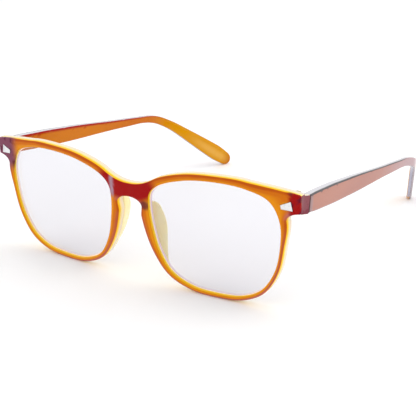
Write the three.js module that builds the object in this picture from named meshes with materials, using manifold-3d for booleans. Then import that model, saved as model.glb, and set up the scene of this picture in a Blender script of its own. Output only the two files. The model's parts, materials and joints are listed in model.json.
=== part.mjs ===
// Square-eye spectacles with clear blue-filtering lenses: a laminated plastic front (a thin brown face on a
// clear amber body), two lenses held in grooves, two bonded nose pads, a pressed metal plaque at each corner,
// and two temples that fold on three-barrel hinges. Millimetres, +Z up, standing open on a table: the rims'
// lowest edges and the temple tips touch z = 0, the front faces -Y and the temples run towards +Y.
import * as THREE from "three";
import { mergeVertices } from "three/addons/utils/BufferGeometryUtils.js";
import Module from "manifold-3d";

const wasm = await Module();
wasm.setup();

// ---- Driving dimensions (millimetres, angles in degrees) ----
const LENS_WIDTH = 53.8; // boxed width of one lens opening
const LENS_HEIGHT = 43.9; // boxed height of one lens opening
const NOSE_GAP = 17.8; // between the two openings, at the nose
const END_REACH = 7.8; // from the opening to the front's side
const FACE_THICKNESS = 1.0; // brown layer
const FRONT_THICKNESS = 4.0; // brown layer and amber body together
const BOND_GAP = 0.2; // kept between two pieces that are glued or pressed together
const FRONT_TILT = 11.9; // the front leans this far from square to the temples, top edge forward

const BRIDGE_DROP = 6.1; // bridge's top, below the top of the openings
const BRIDGE_HEIGHT = 5.5;
const END_DROP = 0.1; // end piece's top corner, below the top of the openings
const END_HEIGHT = 6.8;
const END_DEPTH = 5.4; // from the face's corner back to the hinge gap
const END_FLARE = 0.8; // the end piece widens this much on its way back

const LENS_THICKNESS = 1.8;
const LENS_SET_BACK = 2.45; // middle of the lens edge, behind the face
const LENS_SAG = 1.1; // how far the lens's middle stands forward of its edge
const LENS_CLEARANCE = 0.15; // between the lens's edge and the opening's wall
const RIDGE_HEIGHT = 0.5; // the lens's V edge, beyond the opening's wall
const RIDGE_ROOT = 1.0; // thickness of that edge at its root
const RIDGE_TIP = 0.5;
const GROOVE_CLEARANCE = 0.15; // round the V edge

const TEMPLE_STRAIGHT = 99.5; // hinge to the ear bend
const TIP_LENGTH = 52; // ear bend to the end, along the tip
const TEMPLE_HEIGHT = 7.2; // at its deepest, a little behind the hinge
const BUTT_HEIGHT = 6.2; // where it meets the end piece
const TEMPLE_NECK = 3.2; // at its slimmest, before the ear bend
const TIP_HEIGHT = 7.8; // at the paddle's widest
const TEMPLE_THICKNESS = 3.4; // at the hinge
const TEMPLE_THIN = 2.4; // from the middle on
const TAPER_START = 12; // along the temple, behind the hinge plate
const TAPER_END = 55;
const EDGE_CHAMFER = 0.5;
const TEMPLE_RISE = 3.1; // the temple's line climbs towards the ear, degrees
const TIP_DROP = 27.5; // the tip's fall, degrees
const DROP_LENGTH = 34.5; // the fall is bent over this length
const TIP_TOE_IN = 19.7; // the tip's turn towards the head, degrees
const TOE_LENGTH = 10; // the toe-in is bent over this length
const TEMPLE_TOE_IN = 1.6; // the whole temple's turn towards the head, degrees

const BARREL_RADIUS = 1.5;
const BARREL_HEIGHT = 1.9;
const BARREL_GAP = 0.15; // between two barrels
const SCREW_RADIUS = 0.7;
const SCREW_CLEARANCE = 0.06; // radial, in the barrels' bore
const SCREW_HEAD_RADIUS = 1.25;
const SCREW_HEAD_HEIGHT = 0.7;
const SLOT_WIDTH = 0.4;
const SLOT_DEPTH = 0.35;
const WEB_REACH = 1.1; // metal between the barrels and their feet
const BUTT_GAP = 0.3; // end piece to temple, with the temple open
const HINGE_CLEARANCE = 0.3; // barrels to the plastic round them
const FOOT_COVER = 1.4; // plastic left outside the foot that is sunk in the end piece
const FOOT_INNER = 0.3; // foot's inner side, outwards of the axis
const FOOT_BACK = 0.9; // foot's rear, forward of the axis
const FOOT_DEPTH = 3.2;
const FOOT_HEIGHT = 4.0;
const PLATE_START = 0.9; // behind the axis
const PLATE_LENGTH = 9.0; // hinge plate let into the temple
const PLATE_HEIGHT = 3.6;
const PLATE_THICKNESS = 1.45;
const PLATE_PROUD = 0.35; // above the temple's inner face
const POCKET_CLEARANCE = 0.15; // plastic round a sunk metal foot

const PLAQUE_LENGTH = 4.2;
const PLAQUE_WIDE = 3.5; // at its outer end
const PLAQUE_NARROW = 1.5; // at its inner end
const PLAQUE_THICKNESS = 0.7;
const PLAQUE_PROUD = 0.25; // above the face
const PLAQUE_SLOPE = 11; // climbs towards the corner, degrees
const PLAQUE_INSET = 5.0; // its middle, from the front's side
const PLAQUE_BELOW = 4.4; // its middle, below the end piece's top corner
const PIN_RADIUS = 0.5;
const PIN_LENGTH = 1.6;
const PIN_ROOT = 0.2; // inside the plate

const PAD_REACH = 6.4; // how far a nose pad stands behind the rim
const PAD_THICKNESS = 2.2;
const PAD_THIN = 1.3; // at its lower end, where the rim is slim
const PAD_DROP = 13.3; // pad's top, below the top of the openings
const PAD_LIFT = 6.3; // pad's lower end, above the bottom of the openings
const PAD_WIDEST = 0.62; // where it stands out furthest, share of its height
const PAD_INSET = 0.1; // from the rim's nose side
const PAD_FLARE = 0.26; // the pads spread towards the wearer's face, run over reach

// The front's plan curve: a soft bend at the bridge and a long even curve to the sides.
const BRIDGE_BEND_SLOPE = 0.033;
const BRIDGE_BEND_WIDTH = 8;
const FACE_CURVE_RADIUS = 950;

// The lens opening and the rim round it. Each row is one point of the opening, as a share of half the lens's
// width (nose to temple) and half its height, and the rim's width there. It runs down the nose side, under
// the lens, up the temple side and back along the brow.
const EYE = [
  [-1.0, 0.376, 4.0],
  [-0.967, -0.011, 3.6],
  [-0.877, -0.421, 2.6],
  [-0.688, -0.777, 1.9],
  [-0.364, -0.963, 1.6],
  [0.007, -1.0, 1.55],
  [0.416, -0.95, 1.55],
  [0.706, -0.763, 1.6],
  [0.907, -0.39, 1.5],
  [0.996, 0.08, 1.6],
  [0.993, 0.513, 2.9],
  [0.855, 0.822, 3.4],
  [0.528, 0.964, 2.9],
  [0.082, 1.0, 2.4],
  [-0.401, 0.941, 2.6],
  [-0.829, 0.768, 2.9],
  [-0.97, 0.604, 3.4],
];
// Where the rim's outer edge meets the other parts of the front's outline, as rows of the table above.
const BROW_ROW = 15;
const END_TOP_ROW = 12;
const END_BOTTOM_ROW = 10;
const NOSE_ROW = 0.5;
const EYE_STEPS = 4; // facets from one row to the next
const CURVE_STEPS = 6; // facets in each short curve of the outline
const ROUND_STEPS = 20; // facets round a barrel or a screw
const TEMPLE_STEP = 3; // length of a temple facet

const radians = THREE.MathUtils.degToRad;
const { lerp, smoothstep } = THREE.MathUtils;

// ---- Sizes that follow, heights above the lenses' centre line ----
const eyeCentre = NOSE_GAP / 2 + LENS_WIDTH / 2;
const frontSide = NOSE_GAP / 2 + LENS_WIDTH + END_REACH;
const bridgeTop = LENS_HEIGHT / 2 - BRIDGE_DROP;
const endTop = LENS_HEIGHT / 2 - END_DROP;
const padTop = LENS_HEIGHT / 2 - PAD_DROP;
const padBottom = -LENS_HEIGHT / 2 + PAD_LIFT;

const MATERIALS = {
  brown: new THREE.MeshStandardMaterial({ color: 0x9a3a0c, roughness: 0.08, metalness: 0 }),
  amber: new THREE.MeshStandardMaterial({ color: 0xf2c94c, roughness: 0.08, metalness: 0 }),
  lens: new THREE.MeshStandardMaterial({ color: 0xf1f1f6, roughness: 0.02, metalness: 0 }),
  hinge: new THREE.MeshStandardMaterial({ color: 0xc79a4b, roughness: 0.25, metalness: 1 }),
  screw: new THREE.MeshStandardMaterial({ color: 0xd8b56a, roughness: 0.2, metalness: 1 }),
  plaque: new THREE.MeshStandardMaterial({ color: 0xe6e6e8, roughness: 0.2, metalness: 1 }),
};

// ---- Solids ----
// Joins a geometry's shared vertices and drops the triangles that this closes up.
function weld(geometry) {
  const bare = geometry.clone();
  bare.deleteAttribute("normal");
  bare.deleteAttribute("uv");
  const merged = mergeVertices(bare, 1e-4);
  const kept = [];
  for (let i = 0; i < merged.index.count; i += 3) {
    const [a, b, c] = [0, 1, 2].map((k) => merged.index.getX(i + k));
    if (a !== b && b !== c && c !== a) {
      kept.push(a, b, c);
    }
  }
  merged.setIndex(kept);
  return merged;
}

// A closed geometry as a manifold solid. One that a solid gave is already joined.
function solid(geometry) {
  const joined = geometry.attributes.normal ? weld(geometry) : geometry;
  return new wasm.Manifold(
    new wasm.Mesh({
      numProp: 3,
      vertProperties: joined.attributes.position.array,
      triVerts: new Uint32Array(joined.index.array),
    }),
  );
}

// A manifold solid back as a geometry.
function geometryOf(made) {
  const mesh = made.getMesh();
  const geometry = new THREE.BufferGeometry();
  geometry.setAttribute("position", new THREE.BufferAttribute(mesh.vertProperties, 3));
  geometry.setIndex(new THREE.BufferAttribute(mesh.triVerts, 1));
  return geometry;
}

// Moves every vertex of a geometry by a rule.
function warp(geometry, rule) {
  const position = geometry.attributes.position;
  const point = new THREE.Vector3();
  for (let i = 0; i < position.count; i += 1) {
    point.fromBufferAttribute(position, i);
    rule(point);
    position.setXYZ(i, point.x, point.y, point.z);
  }
  return geometry;
}

function box(low, high) {
  const geometry = new THREE.BoxGeometry(high[0] - low[0], high[1] - low[1], high[2] - low[2]);
  return geometry.translate((low[0] + high[0]) / 2, (low[1] + high[1]) / 2, (low[2] + high[2]) / 2);
}

// An upright cylinder from one height to another.
function post(radius, low, high) {
  const geometry = new THREE.CylinderGeometry(radius, radius, high - low, ROUND_STEPS);
  return geometry.rotateX(Math.PI / 2).translate(0, 0, (low + high) / 2);
}

// A closed skin over rings of points. Each ring has as many points and runs the same way round.
function loft(rings) {
  const count = rings[0].length;
  const last = (rings.length - 1) * count;
  const index = [];
  for (let start = 0; start < last; start += count) {
    for (let k = 0; k < count; k += 1) {
      const next = (k + 1) % count;
      const [near, far] = [start + k, start + count + k];
      const [nearNext, farNext] = [start + next, start + count + next];
      index.push(near, farNext, nearNext, near, far, farNext);
    }
  }
  for (let k = 1; k < count - 1; k += 1) {
    index.push(0, k, k + 1, last, last + k + 1, last + k);
  }
  const geometry = new THREE.BufferGeometry().setFromPoints(rings.flat());
  return geometry.setIndex(index);
}

// An upright outline (x, height) given depth, from one distance behind the face to another.
function slab(shape, front, back) {
  const geometry = new THREE.ExtrudeGeometry(shape, { depth: back - front, bevelEnabled: false });
  return geometry.rotateX(Math.PI / 2).translate(0, back, 0);
}

// ---- The eye's outline ----
const eyeCurve = new THREE.CatmullRomCurve3(
  EYE.map(([across, up, rim]) => new THREE.Vector3((across * LENS_WIDTH) / 2, (up * LENS_HEIGHT) / 2, rim)),
  true,
  "centripetal",
);

// A point of the right eye at a row of the table: its place, the way out of the opening and the rim's width.
function eyeAt(row) {
  const turn = (((row / EYE.length) % 1) + 1) % 1;
  const at = eyeCurve.getPoint(turn);
  const along = eyeCurve.getTangent(turn);
  const out = new THREE.Vector2(along.y, -along.x).normalize();
  return { place: new THREE.Vector2(eyeCentre + at.x, at.y), out, rim: at.z };
}

// The opening's edge moved outwards by a distance.
function openingAt(row, grow = 0) {
  const { place, out } = eyeAt(row);
  return place.addScaledVector(out, grow);
}

function rimEdgeAt(row) {
  const { place, out, rim } = eyeAt(row);
  return place.addScaledVector(out, rim);
}

// The rim's outer edge from one row down to another.
function rimEdge(from, to) {
  const steps = Math.round((from - to) * EYE_STEPS);
  return Array.from({ length: steps + 1 }, (_, i) => rimEdgeAt(from - ((from - to) * i) / steps));
}

function bezier(...points) {
  const handles = points.map(([x, y]) => new THREE.Vector2(x, y));
  return new THREE.CubicBezierCurve(...handles).getPoints(CURVE_STEPS);
}

// The right half of the front's outline, from the top of the bridge round to its underside.
function halfOutline() {
  const brow = rimEdgeAt(BROW_ROW);
  const top = rimEdgeAt(END_TOP_ROW);
  const under = rimEdgeAt(END_BOTTOM_ROW);
  const nose = rimEdgeAt(NOSE_ROW);
  const side = frontSide;
  const endBottom = endTop - END_HEIGHT;
  const arch = bridgeTop - BRIDGE_HEIGHT;
  const step = nose.x + 0.3;
  const browCurve = [[0, bridgeTop], [5, bridgeTop - 0.1], [brow.x - 3.6, brow.y - 2.1], [brow.x, brow.y]];
  const endCurve = [[top.x, top.y], [top.x + 6, top.y - 0.5], [side - 5, endTop + 1], [side, endTop]];
  const notchMiddle = [[side - 2.4, endBottom - 0.3], [under.x + 0.3, under.y + 2.2]];
  const notchCurve = [[side, endBottom], ...notchMiddle, [under.x, under.y]];
  const stepCurve = [[nose.x, nose.y], [nose.x, nose.y + 1.6], [step + 0.4, arch - 3.1], [step, arch - 2.4]];
  const archCurve = [[step, arch - 2.4], [step - 0.5, arch - 1.2], [3.2, arch], [0, arch]];
  return [
    ...bezier(...browCurve),
    ...rimEdge(BROW_ROW, END_TOP_ROW).slice(1),
    ...bezier(...endCurve).slice(1),
    ...bezier(...notchCurve),
    ...rimEdge(END_BOTTOM_ROW, NOSE_ROW).slice(1),
    ...bezier(...stepCurve).slice(1),
    ...bezier(...archCurve).slice(1),
  ];
}

// One opening as a closed path, on the right (side 1) or the left (side -1).
function openingPath(side) {
  const steps = EYE.length * EYE_STEPS;
  const points = Array.from({ length: steps }, (_, i) => openingAt(i / EYE_STEPS));
  return new THREE.Path(points.map(({ x, y }) => new THREE.Vector2(side * x, y)));
}

function frontShape() {
  const half = halfOutline();
  const other = half.slice(1, -1).map(({ x, y }) => new THREE.Vector2(-x, y));
  const shape = new THREE.Shape([...half.reverse(), ...other]);
  shape.holes.push(openingPath(1), openingPath(-1));
  return shape;
}

// ---- From the flat front to the worn one ----
// How far the front falls back at a distance from its middle.
function fallBack(x) {
  const bend = Math.hypot(x, BRIDGE_BEND_WIDTH) - BRIDGE_BEND_WIDTH;
  return BRIDGE_BEND_SLOPE * bend + (x * x) / (2 * FACE_CURVE_RADIUS);
}

// Curves a flat front piece in plan and leans it.
function worn(geometry) {
  warp(geometry, (point) => {
    point.y += fallBack(point.x);
  });
  return geometry.rotateX(radians(FRONT_TILT));
}

// Where a point of the flat front (x, height, depth behind the face) goes.
function wornPoint(x, height, depth) {
  const place = new THREE.Vector3(x, depth + fallBack(x), height);
  return place.applyAxisAngle(new THREE.Vector3(1, 0, 0), radians(FRONT_TILT));
}

// ---- Lenses and their grooves ----
// A disc of the eye's shape. A profile point is (share of the way to the opening's edge, depth behind the
// face, distance beyond that edge), from the middle of the front to the middle of the back.
function eyeDisc(profile) {
  const steps = EYE.length * EYE_STEPS;
  const ring = profile.map(([share, , beyond], i) => new THREE.Vector2(share === 0 ? 0 : 1, i));
  const geometry = new THREE.LatheGeometry(ring, steps);
  const position = geometry.attributes.position;
  for (let i = 0; i < position.count; i += 1) {
    const row = -Math.floor(i / profile.length) / EYE_STEPS;
    const [share, depth, beyond] = profile[i % profile.length];
    const edge = openingAt(row, beyond);
    position.setXYZ(i, eyeCentre + (edge.x - eyeCentre) * share, depth, edge.y * share);
  }
  return geometry;
}

function lensProfile() {
  const front = LENS_SET_BACK - LENS_THICKNESS / 2;
  const back = LENS_SET_BACK + LENS_THICKNESS / 2;
  const shares = [0, 0.35, 0.65, 0.85, 1];
  const face = (depth, share) => [share, depth - LENS_SAG * (1 - share * share), -LENS_CLEARANCE];
  return [
    ...shares.map((share) => face(front, share)),
    [1, LENS_SET_BACK - RIDGE_ROOT / 2, -LENS_CLEARANCE],
    [1, LENS_SET_BACK - RIDGE_TIP / 2, RIDGE_HEIGHT],
    [1, LENS_SET_BACK + RIDGE_TIP / 2, RIDGE_HEIGHT],
    [1, LENS_SET_BACK + RIDGE_ROOT / 2, -LENS_CLEARANCE],
    ...shares.reverse().map((share) => face(back, share)),
  ];
}

function grooveProfile() {
  const root = RIDGE_ROOT / 2 + GROOVE_CLEARANCE;
  const tip = RIDGE_TIP / 2 + GROOVE_CLEARANCE;
  return [
    [0, LENS_SET_BACK - root, 0],
    [1, LENS_SET_BACK - root, -LENS_CLEARANCE],
    [1, LENS_SET_BACK - tip, RIDGE_HEIGHT + GROOVE_CLEARANCE],
    [1, LENS_SET_BACK + tip, RIDGE_HEIGHT + GROOVE_CLEARANCE],
    [1, LENS_SET_BACK + root, -LENS_CLEARANCE],
    [0, LENS_SET_BACK + root, 0],
  ];
}

// ---- Hinge geometry shared by the front, the temple and the hinge itself ----
const endMiddle = endTop - END_HEIGHT / 2;
const corner = wornPoint(frontSide, endMiddle, 0);
const templeInner = BARREL_RADIUS + POCKET_CLEARANCE; // temple's inner face, outwards of the axis
const templeOuter = templeInner + TEMPLE_THICKNESS;
const hingeAxis = new THREE.Vector3(corner.x + END_FLARE - templeOuter, corner.y + END_DEPTH, corner.z);
const stackHeight = 3 * BARREL_HEIGHT + 2 * BARREL_GAP;
const boreRadius = SCREW_RADIUS + SCREW_CLEARANCE;

// The span of a barrel in the stack, 0 the lowest.
function barrelSpan(index) {
  const low = -stackHeight / 2 + index * (BARREL_HEIGHT + BARREL_GAP);
  return [low, low + BARREL_HEIGHT];
}

function barrel(index) {
  const [low, high] = barrelSpan(index);
  return solid(post(BARREL_RADIUS, low, high));
}

const bore = solid(post(boreRadius, -stackHeight, stackHeight));

// The metal foot sunk in the end piece, grown by a clearance for its pocket.
function frontFoot(grow) {
  const half = FOOT_HEIGHT / 2 + grow;
  const low = [FOOT_INNER - grow, -FOOT_BACK - FOOT_DEPTH - grow, -half];
  return solid(box(low, [templeOuter - FOOT_COVER + grow, -FOOT_BACK + grow, half]));
}

// The metal plate let into the temple, grown by a clearance for its pocket.
function templePlate(grow) {
  const half = PLATE_HEIGHT / 2 + grow;
  const low = [templeInner - PLATE_PROUD, PLATE_START - grow, -half];
  const outer = templeInner - PLATE_PROUD + PLATE_THICKNESS + grow;
  return solid(box(low, [outer, PLATE_START + PLATE_LENGTH + grow, half]));
}

// Where the barrels turn: nothing else may be inside it.
function barrelRoom() {
  return solid(post(BARREL_RADIUS + HINGE_CLEARANCE, -END_HEIGHT, END_HEIGHT));
}

// ---- Front ----
// The block that carries the face's corner back to the hinge gap.
function endBlock() {
  const rise = END_HEIGHT / 2;
  const back = -BUTT_GAP / 2;
  const front = -END_DEPTH + (FACE_THICKNESS + BOND_GAP + FRONT_THICKNESS) / 2;
  const plan = new THREE.Shape([
    new THREE.Vector2(WEB_REACH, front),
    new THREE.Vector2(templeOuter - END_FLARE, front),
    new THREE.Vector2(templeOuter, back),
    new THREE.Vector2(WEB_REACH, back),
  ]);
  const geometry = new THREE.ExtrudeGeometry(plan, { depth: 2 * rise, bevelEnabled: false });
  return solid(geometry.translate(0, 0, -rise));
}

function atHinge(made, side) {
  const geometry = geometryOf(made).translate(hingeAxis.x, hingeAxis.y, hingeAxis.z);
  return side > 0 ? solid(geometry) : solid(mirrored(geometry));
}

// A geometry's mirror image across the middle of the spectacles.
function mirrored(geometry) {
  const copy = geometry.clone().scale(-1, 1, 1);
  const order = copy.index.array;
  for (let i = 0; i < order.length; i += 3) {
    [order[i + 1], order[i + 2]] = [order[i + 2], order[i + 1]];
  }
  return copy;
}

// The plaque's outline, grown by a clearance for its pocket.
function plaqueShape(grow) {
  const half = PLAQUE_LENGTH / 2 + grow;
  const middle = new THREE.Vector2(frontSide - PLAQUE_INSET, endTop - PLAQUE_BELOW);
  const corners = [
    [-half, -PLAQUE_NARROW / 2 - grow],
    [half, -PLAQUE_WIDE / 2 - grow],
    [half, PLAQUE_WIDE / 2 + grow],
    [-half, PLAQUE_NARROW / 2 + grow],
  ];
  const slope = radians(PLAQUE_SLOPE);
  const turned = corners.map(([x, y]) => new THREE.Vector2(x, y).rotateAround(new THREE.Vector2(), slope));
  return new THREE.Shape(turned.map((point) => point.add(middle)));
}

function plaquePin(radius, length) {
  const depth = PLAQUE_THICKNESS - PLAQUE_PROUD;
  const geometry = new THREE.CylinderGeometry(radius, radius, length + PIN_ROOT, ROUND_STEPS);
  const middle = depth + (length - PIN_ROOT) / 2;
  return geometry.translate(frontSide - PLAQUE_INSET, middle, endTop - PLAQUE_BELOW);
}

function facePiece() {
  const face = slab(frontShape(), 0, FACE_THICKNESS);
  let made = solid(face);
  const pocketDepth = PLAQUE_THICKNESS - PLAQUE_PROUD + POCKET_CLEARANCE;
  const pocket = solid(slab(plaqueShape(POCKET_CLEARANCE), -FACE_THICKNESS, pocketDepth));
  const hole = solid(plaquePin(PIN_RADIUS + POCKET_CLEARANCE, PIN_LENGTH));
  for (const cut of [pocket, hole]) {
    made = made.subtract(cut).subtract(solid(mirrored(geometryOf(cut))));
  }
  return worn(geometryOf(made));
}

function bodyPiece() {
  let made = solid(slab(frontShape(), FACE_THICKNESS + BOND_GAP, FRONT_THICKNESS));
  const groove = solid(eyeDisc(grooveProfile()));
  const pinHole = solid(plaquePin(PIN_RADIUS + POCKET_CLEARANCE, PIN_LENGTH + POCKET_CLEARANCE));
  for (const cut of [groove, pinHole]) {
    made = made.subtract(cut).subtract(solid(mirrored(geometryOf(cut))));
  }
  made = solid(worn(geometryOf(made)));
  for (const side of [1, -1]) {
    made = made.add(atHinge(endBlock(), side));
    made = made.subtract(atHinge(barrelRoom(), side));
    made = made.subtract(atHinge(frontFoot(POCKET_CLEARANCE), side));
  }
  return geometryOf(made);
}

function plaquePiece() {
  const plate = solid(slab(plaqueShape(0), -PLAQUE_PROUD, PLAQUE_THICKNESS - PLAQUE_PROUD));
  return worn(geometryOf(plate.add(solid(plaquePin(PIN_RADIUS, PIN_LENGTH)))));
}

// The rim's outer edge on the nose side, at a height.
function noseEdge(height) {
  let low = NOSE_ROW;
  let high = END_BOTTOM_ROW / 2;
  for (let i = 0; i < 30; i += 1) {
    const middle = (low + high) / 2;
    [low, high] = rimEdgeAt(middle).y > height ? [middle, high] : [low, middle];
  }
  return rimEdgeAt(low).x;
}

function padPiece() {
  const root = FRONT_THICKNESS + BOND_GAP;
  const reach = root + PAD_REACH;
  const height = padTop - padBottom;
  const widest = padBottom + PAD_WIDEST * height;
  const side = new THREE.Shape();
  side.moveTo(root, padTop);
  side.bezierCurveTo(root + PAD_REACH * 0.4, padTop, reach, widest + 0.3 * height, reach, widest);
  const [taper, end] = [root + PAD_REACH * 0.35, padBottom + 0.16 * height];
  side.bezierCurveTo(reach, widest - 0.2 * height, taper, end, root, padBottom);
  const geometry = new THREE.ExtrudeGeometry(side, { depth: 1, bevelEnabled: false, curveSegments: 12 });
  return worn(
    warp(geometry, (point) => {
      const [depth, level, across] = [point.x, point.y, point.z];
      const share = Math.min(1, (2 * (level - padBottom)) / height);
      const edge = noseEdge(Math.min(level, rimEdgeAt(NOSE_ROW).y));
      const inner = edge + PAD_INSET + PAD_FLARE * (depth - root);
      point.set(inner + across * lerp(PAD_THIN, PAD_THICKNESS, share), depth, level);
    }),
  );
}

// ---- Hinge pieces, about the hinge axis ----
function frontHinge() {
  let made = barrel(0).add(barrel(2));
  const web = solid(box([0, -WEB_REACH, -stackHeight / 2], [WEB_REACH, 0, stackHeight / 2]));
  made = made.add(web).add(frontFoot(0));
  const [low, high] = barrelSpan(1);
  made = made.subtract(solid(post(BARREL_RADIUS + HINGE_CLEARANCE / 2, low - BARREL_GAP, high + BARREL_GAP)));
  return geometryOf(made.subtract(bore));
}

function templeHinge() {
  const [low, high] = barrelSpan(1);
  const web = solid(box([0, 0, low], [templeInner - PLATE_PROUD / 2, PLATE_START + WEB_REACH, high]));
  return geometryOf(barrel(1).add(web).add(templePlate(0)).subtract(bore));
}

function screw() {
  const top = stackHeight / 2 + BARREL_GAP;
  const head = solid(post(SCREW_HEAD_RADIUS, top, top + SCREW_HEAD_HEIGHT));
  const shank = solid(post(SCREW_RADIUS, -stackHeight / 2, top + SCREW_HEAD_HEIGHT / 2));
  const slotTop = top + 2 * SCREW_HEAD_HEIGHT;
  const slotFloor = top + SCREW_HEAD_HEIGHT - SLOT_DEPTH;
  const wide = 2 * SCREW_HEAD_RADIUS;
  const slot = solid(box([-wide, -SLOT_WIDTH / 2, slotFloor], [wide, SLOT_WIDTH / 2, slotTop]));
  return geometryOf(head.add(shank).subtract(slot));
}

// ---- Temple, about the hinge axis: y runs back, x outwards ----
// Heights of the temple's side view: distance behind the hinge, height.
const TEMPLE_FORM = [
  [0, BUTT_HEIGHT],
  [0.07 * TEMPLE_STRAIGHT, lerp(BUTT_HEIGHT, TEMPLE_HEIGHT, 0.7)],
  [0.2 * TEMPLE_STRAIGHT, TEMPLE_HEIGHT],
  [0.35 * TEMPLE_STRAIGHT, lerp(TEMPLE_NECK, TEMPLE_HEIGHT, 0.87)],
  [0.72 * TEMPLE_STRAIGHT, lerp(TEMPLE_NECK, TEMPLE_HEIGHT, 0.2)],
  [0.86 * TEMPLE_STRAIGHT, TEMPLE_NECK],
  [TEMPLE_STRAIGHT + 0.1 * TIP_LENGTH, lerp(TEMPLE_NECK, TIP_HEIGHT, 0.2)],
  [TEMPLE_STRAIGHT + 0.8 * TIP_LENGTH, TIP_HEIGHT],
  [TEMPLE_STRAIGHT + TIP_LENGTH, 0.85 * TIP_HEIGHT],
];

function templeHeight(along) {
  const next = Math.max(1, TEMPLE_FORM.findIndex(([at]) => at >= along));
  const [[start, low], [end, high]] = [TEMPLE_FORM[next - 1], TEMPLE_FORM[next]];
  const share = (along - start) / (end - start);
  return lerp(low, high, (smoothstep(along, start, end) + share) / 2);
}

function templeThickness(along) {
  return lerp(TEMPLE_THICKNESS, TEMPLE_THIN, smoothstep(along, TAPER_START, TAPER_END));
}

// The temple's rise or fall and its turn towards the head, at a distance behind the hinge.
function templeHeading(along) {
  const bend = along - TEMPLE_STRAIGHT;
  const drop = smoothstep(bend, -DROP_LENGTH / 2, DROP_LENGTH / 2);
  const turn = smoothstep(bend, -TOE_LENGTH / 3, (2 * TOE_LENGTH) / 3);
  return { pitch: radians(lerp(TEMPLE_RISE, -TIP_DROP, drop)), yaw: radians(TIP_TOE_IN * turn) };
}

// Where the sections stand, and how far each is closed in by the tip's round end.
function templeStations() {
  const length = TEMPLE_STRAIGHT + TIP_LENGTH;
  const round = TIP_HEIGHT / 2;
  const steps = Math.round((length - round) / TEMPLE_STEP);
  const even = Array.from({ length: steps }, (_, i) => [((length - round) * i) / steps, 1]);
  const closing = [0, 20, 40, 60, 78].map(radians);
  return [...even, ...closing.map((angle) => [length - round + round * Math.sin(angle), Math.cos(angle)])];
}

// One section: a rectangle with its edges taken off, hung from the temple's outer face.
function templeSection(place, { pitch, yaw }, thickness, height) {
  const out = new THREE.Vector3(Math.cos(yaw), Math.sin(yaw), 0);
  const lean = Math.min(0, pitch);
  const fall = Math.sin(lean);
  const up = new THREE.Vector3(Math.sin(yaw) * fall, -Math.cos(yaw) * fall, Math.cos(lean));
  const half = height / 2;
  const cut = Math.min(EDGE_CHAMFER, height / 4);
  const corners = [
    [0, half - cut],
    [-cut, half],
    [cut - thickness, half],
    [-thickness, half - cut],
    [-thickness, cut - half],
    [cut - thickness, -half],
    [-cut, -half],
    [0, cut - half],
  ];
  const at = ([across, rise]) => place.clone().addScaledVector(out, across).addScaledVector(up, rise);
  return corners.map(at);
}

function templePiece() {
  const place = new THREE.Vector3(templeOuter, BUTT_GAP / 2, 0);
  const rings = [];
  let travelled = 0;
  for (const [along, closed] of templeStations()) {
    const { pitch, yaw } = templeHeading((travelled + along) / 2);
    const level = Math.cos(pitch);
    const way = new THREE.Vector3(-Math.sin(yaw) * level, Math.cos(yaw) * level, Math.sin(pitch));
    place.addScaledVector(way, along - travelled);
    const height = templeHeight(along) * closed;
    rings.push(templeSection(place, templeHeading(along), templeThickness(along), height));
    travelled = along;
  }
  const made = solid(loft(rings)).subtract(templePlate(POCKET_CLEARANCE)).subtract(barrelRoom());
  return geometryOf(made);
}

// ---- Assembly ----
function piece(name, geometry, material) {
  const mesh = new THREE.Mesh(geometry, material);
  mesh.name = name;
  return mesh;
}

function frontAssembly() {
  const group = new THREE.Group();
  group.add(piece("front_body", bodyPiece(), MATERIALS.amber));
  group.add(piece("front_face_layer", facePiece(), MATERIALS.brown));
  return group;
}

// The pieces that come in pairs, on the wearer's left (side 1) or right (side -1).
function sideAssembly(side) {
  const name = side > 0 ? "left" : "right";
  const group = new THREE.Group();
  group.scale.x = side;
  group.add(piece(`lens_${name}`, worn(eyeDisc(lensProfile())), MATERIALS.lens));
  group.add(piece(`nose_pad_${name}`, padPiece(), MATERIALS.amber));
  group.add(piece(`corner_plaque_${name}`, plaquePiece(), MATERIALS.plaque));
  const hinge = new THREE.Group();
  hinge.position.copy(hingeAxis);
  hinge.add(piece(`front_hinge_${name}`, frontHinge(), MATERIALS.hinge));
  hinge.add(piece(`hinge_screw_${name}`, screw(), MATERIALS.screw));
  const temple = new THREE.Group();
  temple.rotation.z = radians(TEMPLE_TOE_IN);
  temple.add(piece(`temple_${name}`, templePiece(), MATERIALS.brown));
  temple.add(piece(`temple_hinge_${name}`, templeHinge(), MATERIALS.hinge));
  hinge.add(temple);
  group.add(hinge);
  return group;
}

// Lets the spectacles down on a table: turned about X until the rims and the tips are equally low.
function standOnTable(spectacles) {
  const lowest = (names) => {
    const bounds = new THREE.Box3();
    spectacles.updateMatrixWorld(true);
    spectacles.traverse((item) => {
      if (names.includes(item.name)) bounds.expandByObject(item, true);
    });
    return bounds.min.z;
  };
  let [low, high] = [0, radians(30)];
  for (let i = 0; i < 40; i += 1) {
    const middle = (low + high) / 2;
    spectacles.rotation.x = -middle;
    const tipsAreHigher = lowest(["temple_left"]) > lowest(["front_body", "front_face_layer"]);
    [low, high] = tipsAreHigher ? [middle, high] : [low, middle];
  }
  spectacles.updateMatrixWorld(true);
  const bounds = new THREE.Box3().setFromObject(spectacles, true);
  const middle = bounds.getCenter(new THREE.Vector3());
  spectacles.position.set(-middle.x, -middle.y, -bounds.min.z);
}

const spectacles = new THREE.Group();
spectacles.add(frontAssembly(), sideAssembly(1), sideAssembly(-1));
standOnTable(spectacles);

export default spectacles;
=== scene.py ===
"""The looks of a pair of square-eye spectacles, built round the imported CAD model.

Shapes are worked out in millimetres in the spectacles' own axes: x across, y back along the temples, z up,
with the lenses' centre line at z = 0. `Stance` then sets each finished mesh down in the row frame, in
metres.
"""

import json
import logging
import math
from collections.abc import Callable, Iterable, Iterator, Sequence
from contextlib import contextmanager
from dataclasses import dataclass, field
from enum import Enum

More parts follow.
